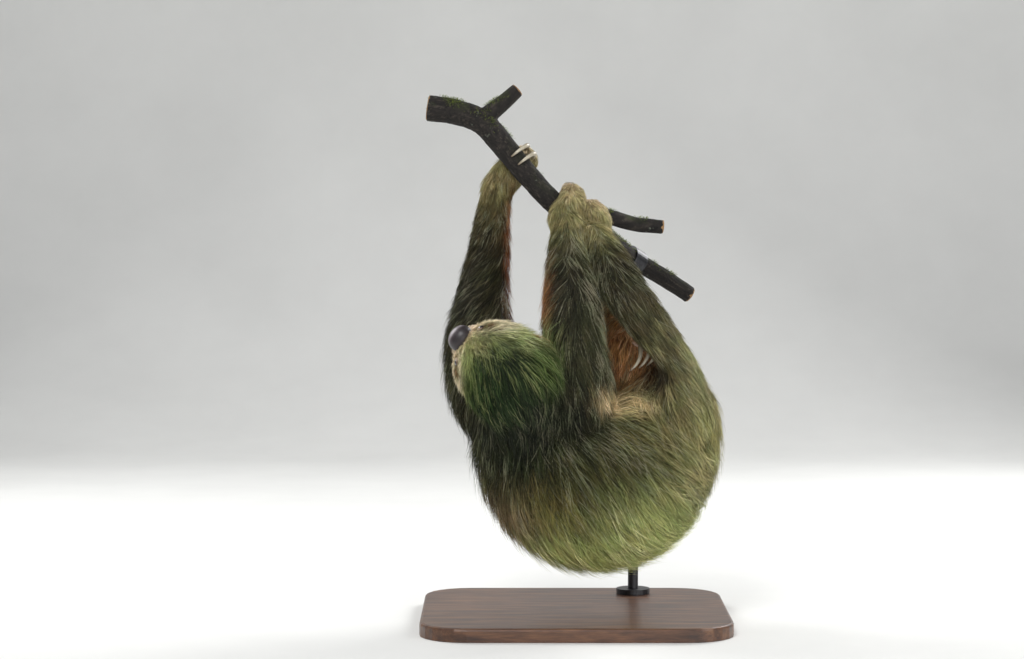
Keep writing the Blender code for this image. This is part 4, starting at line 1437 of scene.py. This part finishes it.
def tuft_mesh(name, path, width, normals, colour, strand, spots):
    """Closed three-sided tufts along paths, pointed at both ends, with their bake patches.

    A ring's corners are the path's point plus half the width times the cosine sideways and the
    sine outwards, flattened, at three equal angles.
    """
    count, nodes = path.shape[:2]
    rings = nodes - 2
    tangent = unit(np.gradient(path, axis=1))
    side = unit(np.cross(tangent, normals[:, None]))
    over = np.cross(side, tangent)
    angle = np.array((math.radians(90), math.radians(210), math.radians(330)))
    half = width[:, None] * np.array(WIDTHS[nodes]) / 2
    ring = side[:, 1:-1, None] * np.cos(angle)[:, None]
    ring = ring + over[:, 1:-1, None] * (0.55 * np.sin(angle)[:, None])
    corners = path[:, 1:-1, None] + ring * half[:, :, None, None]
    points = np.concatenate((path[:, :1], corners.reshape(count, -1, 3), path[:, -1:]), 1)
    per = rings * 3 + 2
    heights = np.linspace(0, 1, nodes)
    template, marks = [], []
    for k in range(3):
        a, b = 1 + k, 1 + (k + 1) % 3
        left, right = k / 3, (k + 1) / 3
        template.append((0, b, a))
        marks.append((((left + right) / 2, 0.0), (right, heights[1]), (left, heights[1])))
        for row in range(rings - 1):
            low, high = heights[row + 1], heights[row + 2]
            c, d = a + row * 3, b + row * 3
            template += [(c, d, d + 3), (c, d + 3, c + 3)]
            marks += [((left, low), (right, low), (right, high))]
            marks += [((left, low), (right, high), (left, high))]
        c, d = a + (rings - 1) * 3, b + (rings - 1) * 3
        template.append((c, d, per - 1))
        marks.append(((left, heights[-2]), (right, heights[-2]), ((left + right) / 2, 1.0)))
    template, marks = np.array(template), np.array(marks)
    faces = (np.arange(count) * per)[:, None, None] + template
    obj = mesh_object(name, points.reshape(-1, 3), faces.reshape(-1, 3))
    spread = spots[:, None, None, :] + (marks - 0.5) * PATCH
    layer = obj.data.uv_layers.new(name="OFBake")
    layer.data.foreach_set("uv", spread.astype(np.float32).ravel())
    share = np.concatenate(([0.0], np.repeat(heights[1:-1], 3), [1.0]))
    strand_rows = np.zeros((count, per, 3), np.float32)
    strand_rows[:, :, 0] = share
    strand_rows[:, :, 1:] = strand[:, None]
    add_attribute(obj, "strand", "FLOAT_VECTOR", strand_rows.reshape(-1, 3))
    add_attribute(obj, "markings", "FLOAT_COLOR", np.repeat(colour, per, axis=0))
    return obj


def bake_spots(found, rows):
    """Where each tuft's patch lies: the chains side by side, each unrolled along and around itself."""
    nearest, along, around = (found[k][rows] for k in ("nearest", "along", "around"))
    names = np.unique(nearest)
    sizes = np.array([np.sqrt((nearest == n).sum()) for n in names])
    edges = np.concatenate(([0], np.cumsum(sizes) / sizes.sum()))
    spots = np.zeros((len(nearest), 2))
    for index, n in enumerate(names):
        mine = nearest == n
        low, high = edges[index], edges[index + 1]
        span = np.clip((around[mine] + np.pi) / TAU, 0, 1)
        reach = along[mine]
        reach = (reach - reach.min()) / max(np.ptp(reach), 1e-6)
        spots[mine, 0] = low + CHAIN_MARGIN + (high - low - 2 * CHAIN_MARGIN) * span
        spots[mine, 1] = reach
    return PATCH + spots * (1 - 2 * PATCH)


# The coat's pieces by the starts of their chains' names
REGIONS = {
    "trunk": ("trunk",),
    "neck": ("neck",),
    "arm_left": ("arm_left", "hand_left"),
    "arm_right": ("arm_right", "hand_right"),
    "leg_left": ("leg_left", "foot_left"),
    "leg_right": ("leg_right", "foot_right"),
    "head": HEAD_NAMES,
}


def region_of(nearest):
    """The index in REGIONS of each nearest chain."""
    table = []
    for name in CHAIN_NAMES:
        matches = [
            i for i, starts in enumerate(REGIONS.values()) if any(name.startswith(s) for s in starts)
        ]
        table.append(matches[0])
    return np.array(table)[nearest]


def scatter(skin, total, randomness):
    """Places on the skin, more of them where the hair is shorter and finer."""
    mesh = skin.data
    mesh.calc_loop_triangles()
    corners = np.zeros(len(mesh.loop_triangles) * 3, np.int32)
    mesh.loop_triangles.foreach_get("vertices", corners)
    points = points_of(skin)
    a, b, c = (points[corners.reshape(-1, 3)[:, i]] for i in range(3))
    area = np.linalg.norm(np.cross(b - a, c - a), axis=1) / 2
    found = survey((a + b + c) / 3)
    length, width = found["row"][:, 5], found["row"][:, 6]
    weight = area / (length * width) ** 0.92
    weight *= 1 - 0.97 * (bareness((a + b + c) / 3, found) > 0.4)
    place = in_head((a + b + c) / 3)
    weight *= 1 - found["head"] * (0.90 * smooth_step(0.040, 0.054, place[:, 0]))
    edges = np.cumsum(weight) / weight.sum()
    pick = np.searchsorted(edges, randomness.random(total))
    first, second = randomness.random((2, total, 1))
    flip = first + second > 1
    first, second = np.where(flip, 1 - first, first), np.where(flip, 1 - second, second)
    return a[pick] + first * (b[pick] - a[pick]) + second * (c[pick] - a[pick])


def guard_share(points):
    """The share of pale guard hairs at points."""
    share = np.full(len(points), GUARD_SHARE)
    for middle, half_sizes, most in GUARD_PLACES:
        away = (points - np.array(middle) * MM) / (np.array(half_sizes) * MM)
        share += most * np.exp(-((away * away).sum(1) ** 1.5))
    return share


def tint(colours, points, head, of_lock, shade, randomness):
    """Colours varied by lock and by hair: some locks and hairs dark, some pale as guard hairs."""
    count = len(colours)
    share = guard_share(points)
    first = np.unique(of_lock, return_index=True, return_inverse=True)
    lock_draw = randomness.random(len(first[0]))[first[2]]
    guard = (lock_draw < share * 0.65) | (randomness.random(count) < share * 0.45)
    guard &= colours.sum(1) < 1.3
    dark = ((lock_draw > 0.84) | (randomness.random(count) < 0.12)) & ~guard
    bright = np.clip(colours.sum(1) / 1.2, 0, 1)
    spread, own = 0.50 - 0.22 * bright, 0.28 - 0.10 * bright
    middle = 0.06 - 0.5 * (spread**2 + own**2)
    tone = np.exp(spread * shade + own * randomness.normal(0, 1, count) + middle)
    warm = randomness.normal(0, 0.04, (count, 1)) * np.array((1.0, 0.1, -0.8))
    colours = colours * tone[:, None] * (1 + warm)
    faded = linear(PALE_STRAND) / linear(PALE_STRAND).sum() * colours.sum(1, keepdims=True)
    colours += (faded - colours) * (0.55 * np.clip(tone - 0.9, 0, 1) * bright)[:, None]
    pale = linear(PALE_STRAND) + (linear(HEAD_STRAND) - linear(PALE_STRAND)) * head[:, None]
    pale = pale * np.exp(randomness.normal(0, 0.2, (count, 1)))
    colours = np.where(guard[:, None], colours * 0.35 + pale * 0.62, colours)
    return np.where(dark[:, None], colours * (0.42 + 0.2 * bright)[:, None], colours), guard


def draw_locks(skin, total, randomness):
    """The locks: their middles, and how long, full, bent and shaded each one is."""
    places = scatter(skin, total, randomness)
    found = survey(places)
    length = found["row"][:, COLUMNS["length"]]
    return {
        "places": places,
        "found": found,
        "is_long": length > LONG_HAIR,
        "spacing": np.clip(length * 0.07, 0.0008, 0.0050),
        "fill": 0.34 + 0.74 * randomness.random(total) ** 0.75,
        "bend": randomness.normal(0, 0.11, total),
        "length": length * randomness.uniform(0.78, 1.15, total),
        "shade": randomness.normal(0, 1, total),
    }


def draw_hairs(locks, per_lock, randomness):
    """The hairs round each lock's middle, rooted just under the skin."""
    centres, found = locks["places"], locks["found"]
    lock = np.repeat(np.arange(len(centres)), per_lock)
    count = len(lock)
    side = unit(np.cross(found["normal"], lie_of_hair(centres, found)))
    ahead = np.cross(side, found["normal"])
    shift = randomness.normal(0, 1, (count, 2)) * locks["spacing"][lock, None]
    roots = centres[lock] + side[lock] * shift[:, :1] + ahead[lock] * shift[:, 1:]
    found = survey(roots)
    roots = roots - found["normal"] * (found["gap"] + ROOT_DEPTH)[:, None]
    stray = randomness.random(count) < STRAY_SHARE
    fill = np.clip(locks["fill"][lock] + randomness.normal(0, 0.10, count), 0.25, 1.18)
    fill = np.where(stray, randomness.uniform(1.05, 1.45, count), fill)
    length = locks["length"][lock] * randomness.uniform(0.72, 1.10, count)
    bend = locks["bend"][lock] + randomness.normal(0, 0.06, count) * (1 + 2 * stray)
    width = found["row"][:, COLUMNS["width"]] * randomness.uniform(0.60, 1.15, count)
    shade = locks["shade"][lock]
    return {
        "places": roots,
        "found": found,
        "is_long": locks["is_long"][lock],
        "lock": lock,
        "stray": stray,
        "fill": fill,
        "length": length,
        "bend": bend,
        "width": np.where(stray, width * 0.7, width),
        "shade": shade,
        "strand": np.stack((randomness.random(count), (shade + 2) / 4), 1),
    }


def picked(table, rows):
    """The same table with only some of its rows."""
    return {
        key: picked(column, rows) if isinstance(column, dict) else column[rows]
        for key, column in table.items()
    }


def grow_table(table, nodes):
    """Paths of a table's locks or hairs, with the survey beside their tips."""
    return grow(table["places"], table["found"], table["length"], table["fill"], table["bend"], nodes)


def coat_kind(locks, hairs, nodes, randomness):
    """The tufts of one number of nodes, as pieces by region of the body."""
    lock_rows = np.nonzero(locks["is_long"] == (nodes == 4))[0]
    locks = picked(locks, lock_rows)
    hairs = picked(hairs, np.nonzero(hairs["is_long"] == (nodes == 4))[0])
    middles, _ = grow_table(locks, nodes)
    mine = np.searchsorted(lock_rows, hairs["lock"])
    path, last = grow_table(hairs, nodes)
    pull = np.array(PULLS[nodes])[None, :, None] * (1 - 0.8 * hairs["stray"])[:, None, None]
    share = (hairs["length"] / locks["length"][mine])[:, None, None]
    path = path + (middles[mine] - path) * pull * np.clip(share, 0, 1)
    colours = markings(path[:, -2], last)
    colours, guard = tint(
        colours, path[:, -2], last["head"], hairs["lock"], hairs["shade"], randomness
    )
    thick = np.where(guard, hairs["width"] * 0.75, hairs["width"])
    found = hairs["found"]
    region = region_of(found["nearest"])
    limit = PIECE_TRIANGLES // (6 * (nodes - 2))
    kind = "long" if nodes == 4 else "short"
    for index, name in enumerate(REGIONS):
        here = np.nonzero(region == index)[0]
        if not len(here):
            continue
        order = here[np.argsort(found["along"][here], kind="stable")]
        parts = int(np.ceil(len(order) / limit))
        for number, batch in enumerate(np.array_split(order, parts), start=1):
            label = f"coat_{name}_{kind}" + (f"_{number}" if parts > 1 else "")
            shape = (path[batch], thick[batch], found["normal"][batch])
            marks = (colours[batch], hairs["strand"][batch], bake_spots(found, batch))
            yield tuft_mesh(label, *shape, *marks)


def make_coat(skin, locks, hairs_per_lock, seed):
    """All the tufts, as pieces of less than 200,000 triangles.

    Each lock has a middle hair and others around its root. Every hair grows along the lie, then is
    pulled towards its lock's middle hair, more so towards the tip. A few stand out as strays.
    """
    randomness = np.random.default_rng(seed)
    locks = draw_locks(skin, locks, randomness)
    hairs = draw_hairs(locks, hairs_per_lock, randomness)
    return [piece for nodes in (4, 3) for piece in coat_kind(locks, hairs, nodes, randomness)]


# ---------------------------------------------------------------- claws, branch and stand
def claw_radius(share):
    """Radius of a claw from its root, at nought, to its tip, at one."""
    return CLAW_ROOT + (CLAW_TIP - CLAW_ROOT) * share**CLAW_TAPER


def claw_path(along, side, offset, start, end):
    """Middle line and radius of a claw bent round the branch between two angles from its top."""
    place, radius, direction, sideways, over = grip_frame(along, side)
    share = np.linspace(0, 1, CLAW_STATIONS)
    angle = np.radians(start + (end - start) * share)
    thick = claw_radius(share)
    out = radius + thick + CLAW_CLEARANCE + 0.0070 * np.sin(np.pi * (1 - share) ** 1.5)
    ring = np.sin(angle)[:, None] * sideways + np.cos(angle)[:, None] * over
    return np.column_stack((place + direction * offset + ring * out[:, None], thick))


def make_claw(name, rows):
    """A claw: an egg-shaped section, keeled outside, carried along its middle line to a point."""
    rows = resample(rows, CLAW_STATIONS)
    share = np.linspace(0, 1, len(rows))
    angle = np.linspace(0, TAU, CLAW_SIDES, endpoint=False)
    shape = 1 + 0.10 * np.cos(angle)[None] - 0.10 * np.cos(2 * angle)[None] * share[:, None]
    grid = swept(rows[:, :3], rows[:, 3], CLAW_SIDES, shape)
    tip = rows[-1, :3] + unit(rows[-1, :3] - rows[-3, :3]) * rows[-1, 3] * 1.2
    points, quads, caps = capped_tube(grid)
    points[-1] = tip
    claw = joined(name, [(points, quads, caps)])
    along = np.append(np.repeat(share, CLAW_SIDES), (0, 1))
    add_attribute(claw, "along", "FLOAT", along)
    outward(claw)
    return claw


def make_claws():
    """All ten claws with the CAD nodes that they stand for."""
    made = []
    for paw, (_, along, side, _, _, offsets, start, end) in GRIPS.items():
        for number, offset in enumerate(offsets, start=1):
            node_name = f"claw_{paw}_{number}"
            rows = claw_path(along, side, offset, start, end)
            made.append((make_claw(f"{node_name}_horn", rows), node_name))
    share = np.linspace(0, 1, len(FREE_CURL))
    thick = FREE_CLAW_SHARE * claw_radius(share)
    for number, spread in enumerate((-1, 0, 1), start=1):
        node_name = f"claw_foot_left_{number}"
        rows = np.column_stack((FREE_TOES + FREE_SPREAD * spread + FREE_CURL, thick))
        made.append((make_claw(f"{node_name}_horn", rows), node_name))
    return made


def value_noise(points, scale, seed):
    """Smooth noise from 0 to 1: random values at lattice corners, blended by S curves between them."""
    place = points * scale
    cell = np.floor(place).astype(np.int64)
    share = place - cell
    share = share * share * (3 - 2 * share)
    total = 0.0
    for corner in np.ndindex(2, 2, 2):
        key = cell + corner
        mixed = key[:, 0] * 73856093 ^ key[:, 1] * 19349663 ^ key[:, 2] * 83492791 ^ seed * 2654435761
        mixed = (mixed ^ (mixed >> 13)) * 1274126177
        value = ((mixed ^ (mixed >> 16)) & 0xFFFF) / 0xFFFF
        weight = np.prod(np.where(corner, share, 1 - share), axis=1)
        total = total + value * weight
    return total


def make_branch():
    """The cut branch: tubes melted together, with furrows along the bark, lumps and flat sawn ends.

    The furrows are noise in coordinates stretched along the branch, measured from its middle value
    and raised to a power below one, so that they are narrow and the ridges broad.
    """
    shells = []
    for rows in (BRANCH, UPPER_FORK, SIDE_FORK):
        rows = resample(np.array(rows, float) * MM, 6)
        shells.append(capped_tube(swept(rows[:, :3], rows[:, 3], 32)))
    branch = joined("perch_bark", shells)
    melt_shells(branch, 0.0017, 2)
    points = points_of(branch)
    line = resample(np.array(BRANCH, float) * MM, 12)
    nearest = np.array([np.argmin(((line[:, :3] - p) ** 2).sum(1)) for p in points])
    direction = unit(np.gradient(line[:, :3], axis=0))[nearest]
    away = points - line[nearest, :3]
    normal = unit(away - (away * direction).sum(1, keepdims=True) * direction)
    along = (line[nearest, :3] * direction).sum(1) + (away * direction).sum(1)
    stretched = normal * line[nearest, 3:4] + direction * (along * 0.16)[:, None]
    furrows = value_noise(stretched, 420, 3)
    ridges = value_noise(stretched, 900, 5)
    lumps = value_noise(points, 60, 7)
    grain = value_noise(points, 700, 9)
    height = 0.55 * np.abs(furrows * 2 - 1) ** 0.6 + 0.25 * ridges + 0.20 * grain
    inside = np.clip((away * normal).sum(1) / line[nearest, 3], 0, 1.2)
    surface = smooth_step(0.75, 0.95, inside)
    push = (height - 0.62) * 0.0016 + (lumps - 0.5) * 0.0011
    points += normal * (push * surface)[:, None]
    set_points(branch, points)
    add_attribute(branch, "relief", "FLOAT", np.clip(height, 0, 1))
    normals = np.zeros(len(points) * 3, np.float32)
    branch.data.vertices.foreach_get("normal", normals)
    normals = normals.reshape(-1, 3)
    add_attribute(branch, "top", "FLOAT", smooth_step(-0.1, 0.8, normals[:, 2]))
    return branch, points, normals.astype(float)


END_SIDES = 72


def make_cut_ends():
    """Sawn ends: discs just proud of each end of the branch, slightly domed, with ring values."""
    made = []
    for label, rows, index in (
        ("thick", BRANCH, 0),
        ("thin", BRANCH, -1),
        ("upper", UPPER_FORK, -1),
        ("side", SIDE_FORK, -1),
    ):
        line = resample(np.array(rows, float) * MM, 6)
        inner = line[1] if index == 0 else line[-2]
        end = line[index]
        out = unit(end[:3] - inner[:3])
        side = unit(np.cross(out, (0.2, 0.1, 1)))
        over = np.cross(out, side)
        radial = np.linspace(0.02, 1, 26)[:, None]
        angle = np.linspace(0, TAU, END_SIDES, endpoint=False)[None]
        wobble = 1 + 0.03 * np.sin(angle * 3 + 1) + 0.02 * np.sin(angle * 7)
        radius = radial * wobble * end[3] * 0.93
        lift = 0.0012 - 0.0005 * radial**2
        front = end[:3] + (np.cos(angle) * radius)[..., None] * side
        front = front + (np.sin(angle) * radius)[..., None] * over + (lift + 0 * angle)[..., None] * out
        back = end[:3] - out * 0.004 + (front[-1:] - end[:3] - out * 0.0007)
        grid = np.concatenate((front, back))
        disc = joined(f"perch_end_{label}", [capped_tube(grid)])
        values = np.append(np.repeat(np.append(radial, 1), END_SIDES), (0, 1))
        add_attribute(disc, "rings", "FLOAT", values)
        outward(disc)
        made.append(disc)
    return made


def make_moss(points, normals, seed, total):
    """Moss shoots in cushions on the upper side of the branch: short tufts, denser by noise."""
    randomness = np.random.default_rng(seed)
    clump = value_noise(points, 38, 21)
    chance = smooth_step(0.56, 0.74, clump) * smooth_step(0.0, 0.7, normals[:, 2])
    chance = chance * (points[:, 2] < 0.790)
    for _, along, side, *_ in GRIPS.values():
        place = grip_frame(along, side)[0]
        chance = chance * smooth_step(0.026, 0.045, np.linalg.norm(points - place, axis=1))
    pick = randomness.choice(len(points), total, p=chance / chance.sum())
    roots, outwards = points[pick] - normals[pick] * 0.0006, normals[pick]
    lean = randomness.normal(0, 0.45, (total, 3))
    length = randomness.uniform(0.0025, 0.0065, total)[:, None]
    first = roots + unit(outwards + lean * 0.5) * length * 0.5
    tip = first + unit(outwards + lean) * length * 0.5 - (0, 0, 0.0004)
    path = np.stack((roots, first, tip), 1)
    across = unit(np.cross(outwards, randomness.normal(0, 1, (total, 3))))
    strand = randomness.random((total, 2))
    spots = randomness.random((total, 2)) * 0.99 + 0.005
    return tuft_mesh(
        "perch_moss",
        path,
        randomness.uniform(0.0005, 0.0009, total),
        across,
        np.tile(linear((90, 104, 40)), (total, 1)),
        strand,
        spots,
    )


# ---------------------------------------------------------------- settings and operators
class SlothCoatSettings(bpy.types.PropertyGroup):
    """How many tufts the coat has and how they gather."""

    locks: bpy.props.IntProperty(
        name="Locks", description="Number of locks of hair", default=22000, min=100
    )
    hairs_per_lock: bpy.props.IntProperty(
        name="Hairs per lock", description="Tufts gathered in each lock", default=6, min=1
    )
    seed: bpy.props.IntProperty(name="Seed", description="Random start of the coat", default=7)


class SlothBodySettings(bpy.types.PropertyGroup):
    """Sizes of the skin and of the branch's moss."""

    skin_step: bpy.props.FloatProperty(
        name="Skin mesh step",
        description="Distance between the skin's points",
        default=0.0033,
        unit="LENGTH",
    )
    moss_shoots: bpy.props.IntProperty(
        name="Moss shoots", description="Number of moss shoots on the branch", default=1600
    )


class SlothStageSettings(bpy.types.PropertyGroup):
    """Floor, light and camera."""

    floor_colour: bpy.props.FloatVectorProperty(
        name="Floor colour",
        description="Colour of the floor and backdrop",
        subtype="COLOR",
        default=(0.80, 0.80, 0.78),
    )
    light_power: bpy.props.FloatProperty(
        name="Light power", description="Power of the main light in watts", default=60.0
    )


class SlothSkinOperator(bpy.types.Operator):
    """Makes the skin of the whole body."""

    bl_idname = "sloth.skin"
    bl_label = "Skin"

    def execute(self, context):
        skin = make_skin(context.scene.sloth_body.skin_step)
        finish_piece(skin, materials()["skin"], FLESH)
        skin.data.shade_smooth()
        return {"FINISHED"}


class SlothFaceOperator(bpy.types.Operator):
    """Makes the eyes with their lids, the nose and the ears."""

    bl_idname = "sloth.face"
    bl_label = "Face"

    def execute(self, context):
        look = materials()
        for sign, side in ((1, "left"), (-1, "right")):
            finish_piece(make_eye(sign), look["eye"], (f"eye_{side}",))
            lids = joined(f"lids_{side}", [make_lids(sign)])
            outward(lids)
            points = points_of(lids)
            colour = markings(points, survey(points)) * 0.75
            add_attribute(lids, "markings", "FLOAT_COLOR", colour)
            finish_piece(lids, look["skin"])
            finish_piece(make_ear(sign), look["ear"], (f"ear_{side}",))
        finish_piece(make_nose(), look["nose"], ("nose",))
        return {"FINISHED"}


class SlothCoatOperator(bpy.types.Operator):
    """Makes the tufts of the coat over the skin."""

    bl_idname = "sloth.coat"
    bl_label = "Coat"

    def execute(self, context):
        settings = context.scene.sloth_coat
        locks = settings.locks
        skin = bpy.data.objects["skin"]
        for piece in make_coat(skin, locks, settings.hairs_per_lock, settings.seed):
            finish_piece(piece, materials()["coat"])
        return {"FINISHED"}


class SlothClawsOperator(bpy.types.Operator):
    """Makes the claws of the hands and feet."""

    bl_idname = "sloth.claws"
    bl_label = "Claws"

    def execute(self, context):
        for claw, node_name in make_claws():
            finish_piece(claw, materials()["claw"], (node_name,))
        return {"FINISHED"}


class SlothBranchOperator(bpy.types.Operator):
    """Makes the cut branch, its sawn ends and its moss."""

    bl_idname = "sloth.branch"
    bl_label = "Branch"

    def execute(self, context):
        look = materials()
        branch, points, normals = make_branch()
        finish_piece(branch, look["bark"], ("perch",))
        for disc in make_cut_ends():
            finish_piece(disc, look["cut_wood"])
        moss = make_moss(points, normals, 11, context.scene.sloth_body.moss_shoots)
        finish_piece(moss, look["moss"])
        return {"FINISHED"}


class SlothStandOperator(bpy.types.Operator):
    """Gives the display stand its wood and steel."""

    bl_idname = "sloth.stand"
    bl_label = "Stand"

    def execute(self, context):
        look = materials()
        for name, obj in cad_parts.items():
            if name.startswith("stand_"):
                obj.data.materials.clear()
                obj.data.materials.append(look["wood" if name == "stand_base" else "metal"])
        return {"FINISHED"}


CAMERA_PLACE = (-0.0945, -4.0, 0.65)
CAMERA_AIM = (-0.0945, 0.0, 0.44)
CAMERA_LENS = 93.75
CAMERA_FAR_END = 50.0
BODY_MIDDLE = (0, 0, 0.4)
# Each light: place, aim, size and its power as a share of the key light's
LIGHTS = {
    "key": ((-0.9, -2.4, 2.7), BODY_MIDDLE, 1.1, 1.0),
    "fill": ((2.4, -2.0, 1.0), BODY_MIDDLE, 2.0, 0.55),
    "bounce": ((0.7, -2.6, 0.35), (0.05, 0, 0.2), 1.6, 0.30),
    "rim_right": ((1.6, 1.5, 1.6), BODY_MIDDLE, 1.2, 0.8),
    "rim_left": ((-1.8, 1.2, 1.7), BODY_MIDDLE, 1.2, 0.6),
}
SKY_COLOUR, SKY_STRENGTH = (0.95, 0.97, 1.0, 1), 0.26
FLOOR_HALF_WIDTH, FLOOR_FRONT, FLOOR_BEND, WALL_HEIGHT = 6.0, -6.0, 1.2, 6.0
FLOOR_DROP = 0.0005  # the floor lies just under the stand
WALL_START = 2.4  # where the floor begins to bend up into the wall


def facing(place, aim):
    """The turn that makes a light or camera at place look at aim."""
    return (Vector(aim) - Vector(place)).to_track_quat("-Z", "Y")


def aimed(name, data, place, aim):
    """An object for a light or camera at place that looks at aim."""
    obj = bpy.data.objects.new(name, data)
    bpy.context.scene.collection.objects.link(obj)
    obj.location = place
    obj.rotation_mode = "QUATERNION"
    obj.rotation_quaternion = facing(place, aim)
    return obj


def make_floor(floor_colour):
    """A floor that bends up into a wall behind, in slightly mottled paint."""
    across = np.linspace(-FLOOR_HALF_WIDTH, FLOOR_HALF_WIDTH, 3)
    turn = np.linspace(0, np.pi / 2, 16)
    bend_depth = WALL_START + FLOOR_BEND * np.sin(turn)
    depth = np.concatenate(([FLOOR_FRONT], bend_depth, [WALL_START + FLOOR_BEND]))
    bend_height = FLOOR_BEND - FLOOR_BEND * np.cos(turn)
    height = np.concatenate(([0.0], bend_height, [WALL_HEIGHT])) - FLOOR_DROP
    grid = np.stack(np.broadcast_arrays(across[None], depth[:, None], height[:, None]), 2)
    quads = grid_quads(len(depth), len(across), closed=False)
    floor = mesh_object("floor", grid.reshape(-1, 3), quads)
    finish, tree, shader = new_material("floor_paint", Roughness=0.85)
    mottle = use_group(tree, bpy.data.node_groups["mottle"], Scale=3.0)
    pale = np.array(floor_colour)
    tone = ramp(tree, ((0.3, pale * 0.97), (0.7, np.minimum(pale * 1.03, 1))))
    tree.links.new(mottle.outputs[0], tone.inputs[0])
    tree.links.new(tone.outputs[0], shader.inputs["Base Color"])
    floor.data.materials.append(finish)


def make_lights(power):
    """Square soft lights round the object, and a faint sky."""
    for name, (place, aim, size, share) in LIGHTS.items():
        lamp = bpy.data.lights.new(name, "AREA")
        lamp.size = size
        lamp.energy = power * share
        aimed(name, lamp, place, aim)
    world = bpy.data.worlds.new("studio")
    world.use_nodes = True
    sky = world.node_tree.nodes["Background"]
    sky.inputs["Color"].default_value = SKY_COLOUR
    sky.inputs["Strength"].default_value = SKY_STRENGTH
    bpy.context.scene.world = world


def make_camera():
    """The camera in front of the display, a little above the body's middle."""
    camera = bpy.data.cameras.new("camera")
    camera.lens = CAMERA_LENS
    camera.sensor_width = 36.0
    camera.clip_end = CAMERA_FAR_END
    scene = bpy.context.scene
    scene.camera = aimed("camera", camera, CAMERA_PLACE, CAMERA_AIM)
    scene.view_settings.view_transform = "Standard"


class SlothStageOperator(bpy.types.Operator):
    """Makes the floor, the light and the camera."""

    bl_idname = "sloth.stage"
    bl_label = "Stage"

    def execute(self, context):
        settings = context.scene.sloth_stage
        make_floor(settings.floor_colour)
        make_lights(settings.light_power)
        make_camera()
        return {"FINISHED"}


class SlothPanel(bpy.types.Panel):
    """Lists the pieces and their settings in the sidebar."""

    bl_idname = "VIEW3D_PT_sloth"
    bl_label = "Sloth"
    bl_space_type = "VIEW_3D"
    bl_region_type = "UI"
    bl_category = "Sloth"

    def draw(self, context):
        for group in (context.scene.sloth_body, context.scene.sloth_coat, context.scene.sloth_stage):
            for key in group.__annotations__:
                self.layout.prop(group, key)
        for operator in OPERATORS:
            self.layout.operator(operator.bl_idname)


OPERATORS = (
    SlothSkinOperator,
    SlothFaceOperator,
    SlothCoatOperator,
    SlothClawsOperator,
    SlothBranchOperator,
    SlothStandOperator,
    SlothStageOperator,
)
SETTINGS = {
    "sloth_body": SlothBodySettings,
    "sloth_coat": SlothCoatSettings,
    "sloth_stage": SlothStageSettings,
}


def register():
    """Registers the settings, the operators and the panel."""
    for name, group in SETTINGS.items():
        bpy.utils.register_class(group)
        setattr(bpy.types.Scene, name, bpy.props.PointerProperty(type=group))
    for item in (*OPERATORS, SlothPanel):
        bpy.utils.register_class(item)


def unregister():
    """Takes them away again."""
    for item in (SlothPanel, *reversed(OPERATORS)):
        bpy.utils.unregister_class(item)
    for name, group in SETTINGS.items():
        delattr(bpy.types.Scene, name)
        bpy.utils.unregister_class(group)


def main():
    """Makes every piece in turn."""
    register()
    bpy.ops.sloth.skin()
    bpy.ops.sloth.face()
    bpy.ops.sloth.coat()
    bpy.ops.sloth.claws()
    bpy.ops.sloth.branch()
    bpy.ops.sloth.stand()
    bpy.ops.sloth.stage()


if __name__ == "__main__":
    main()
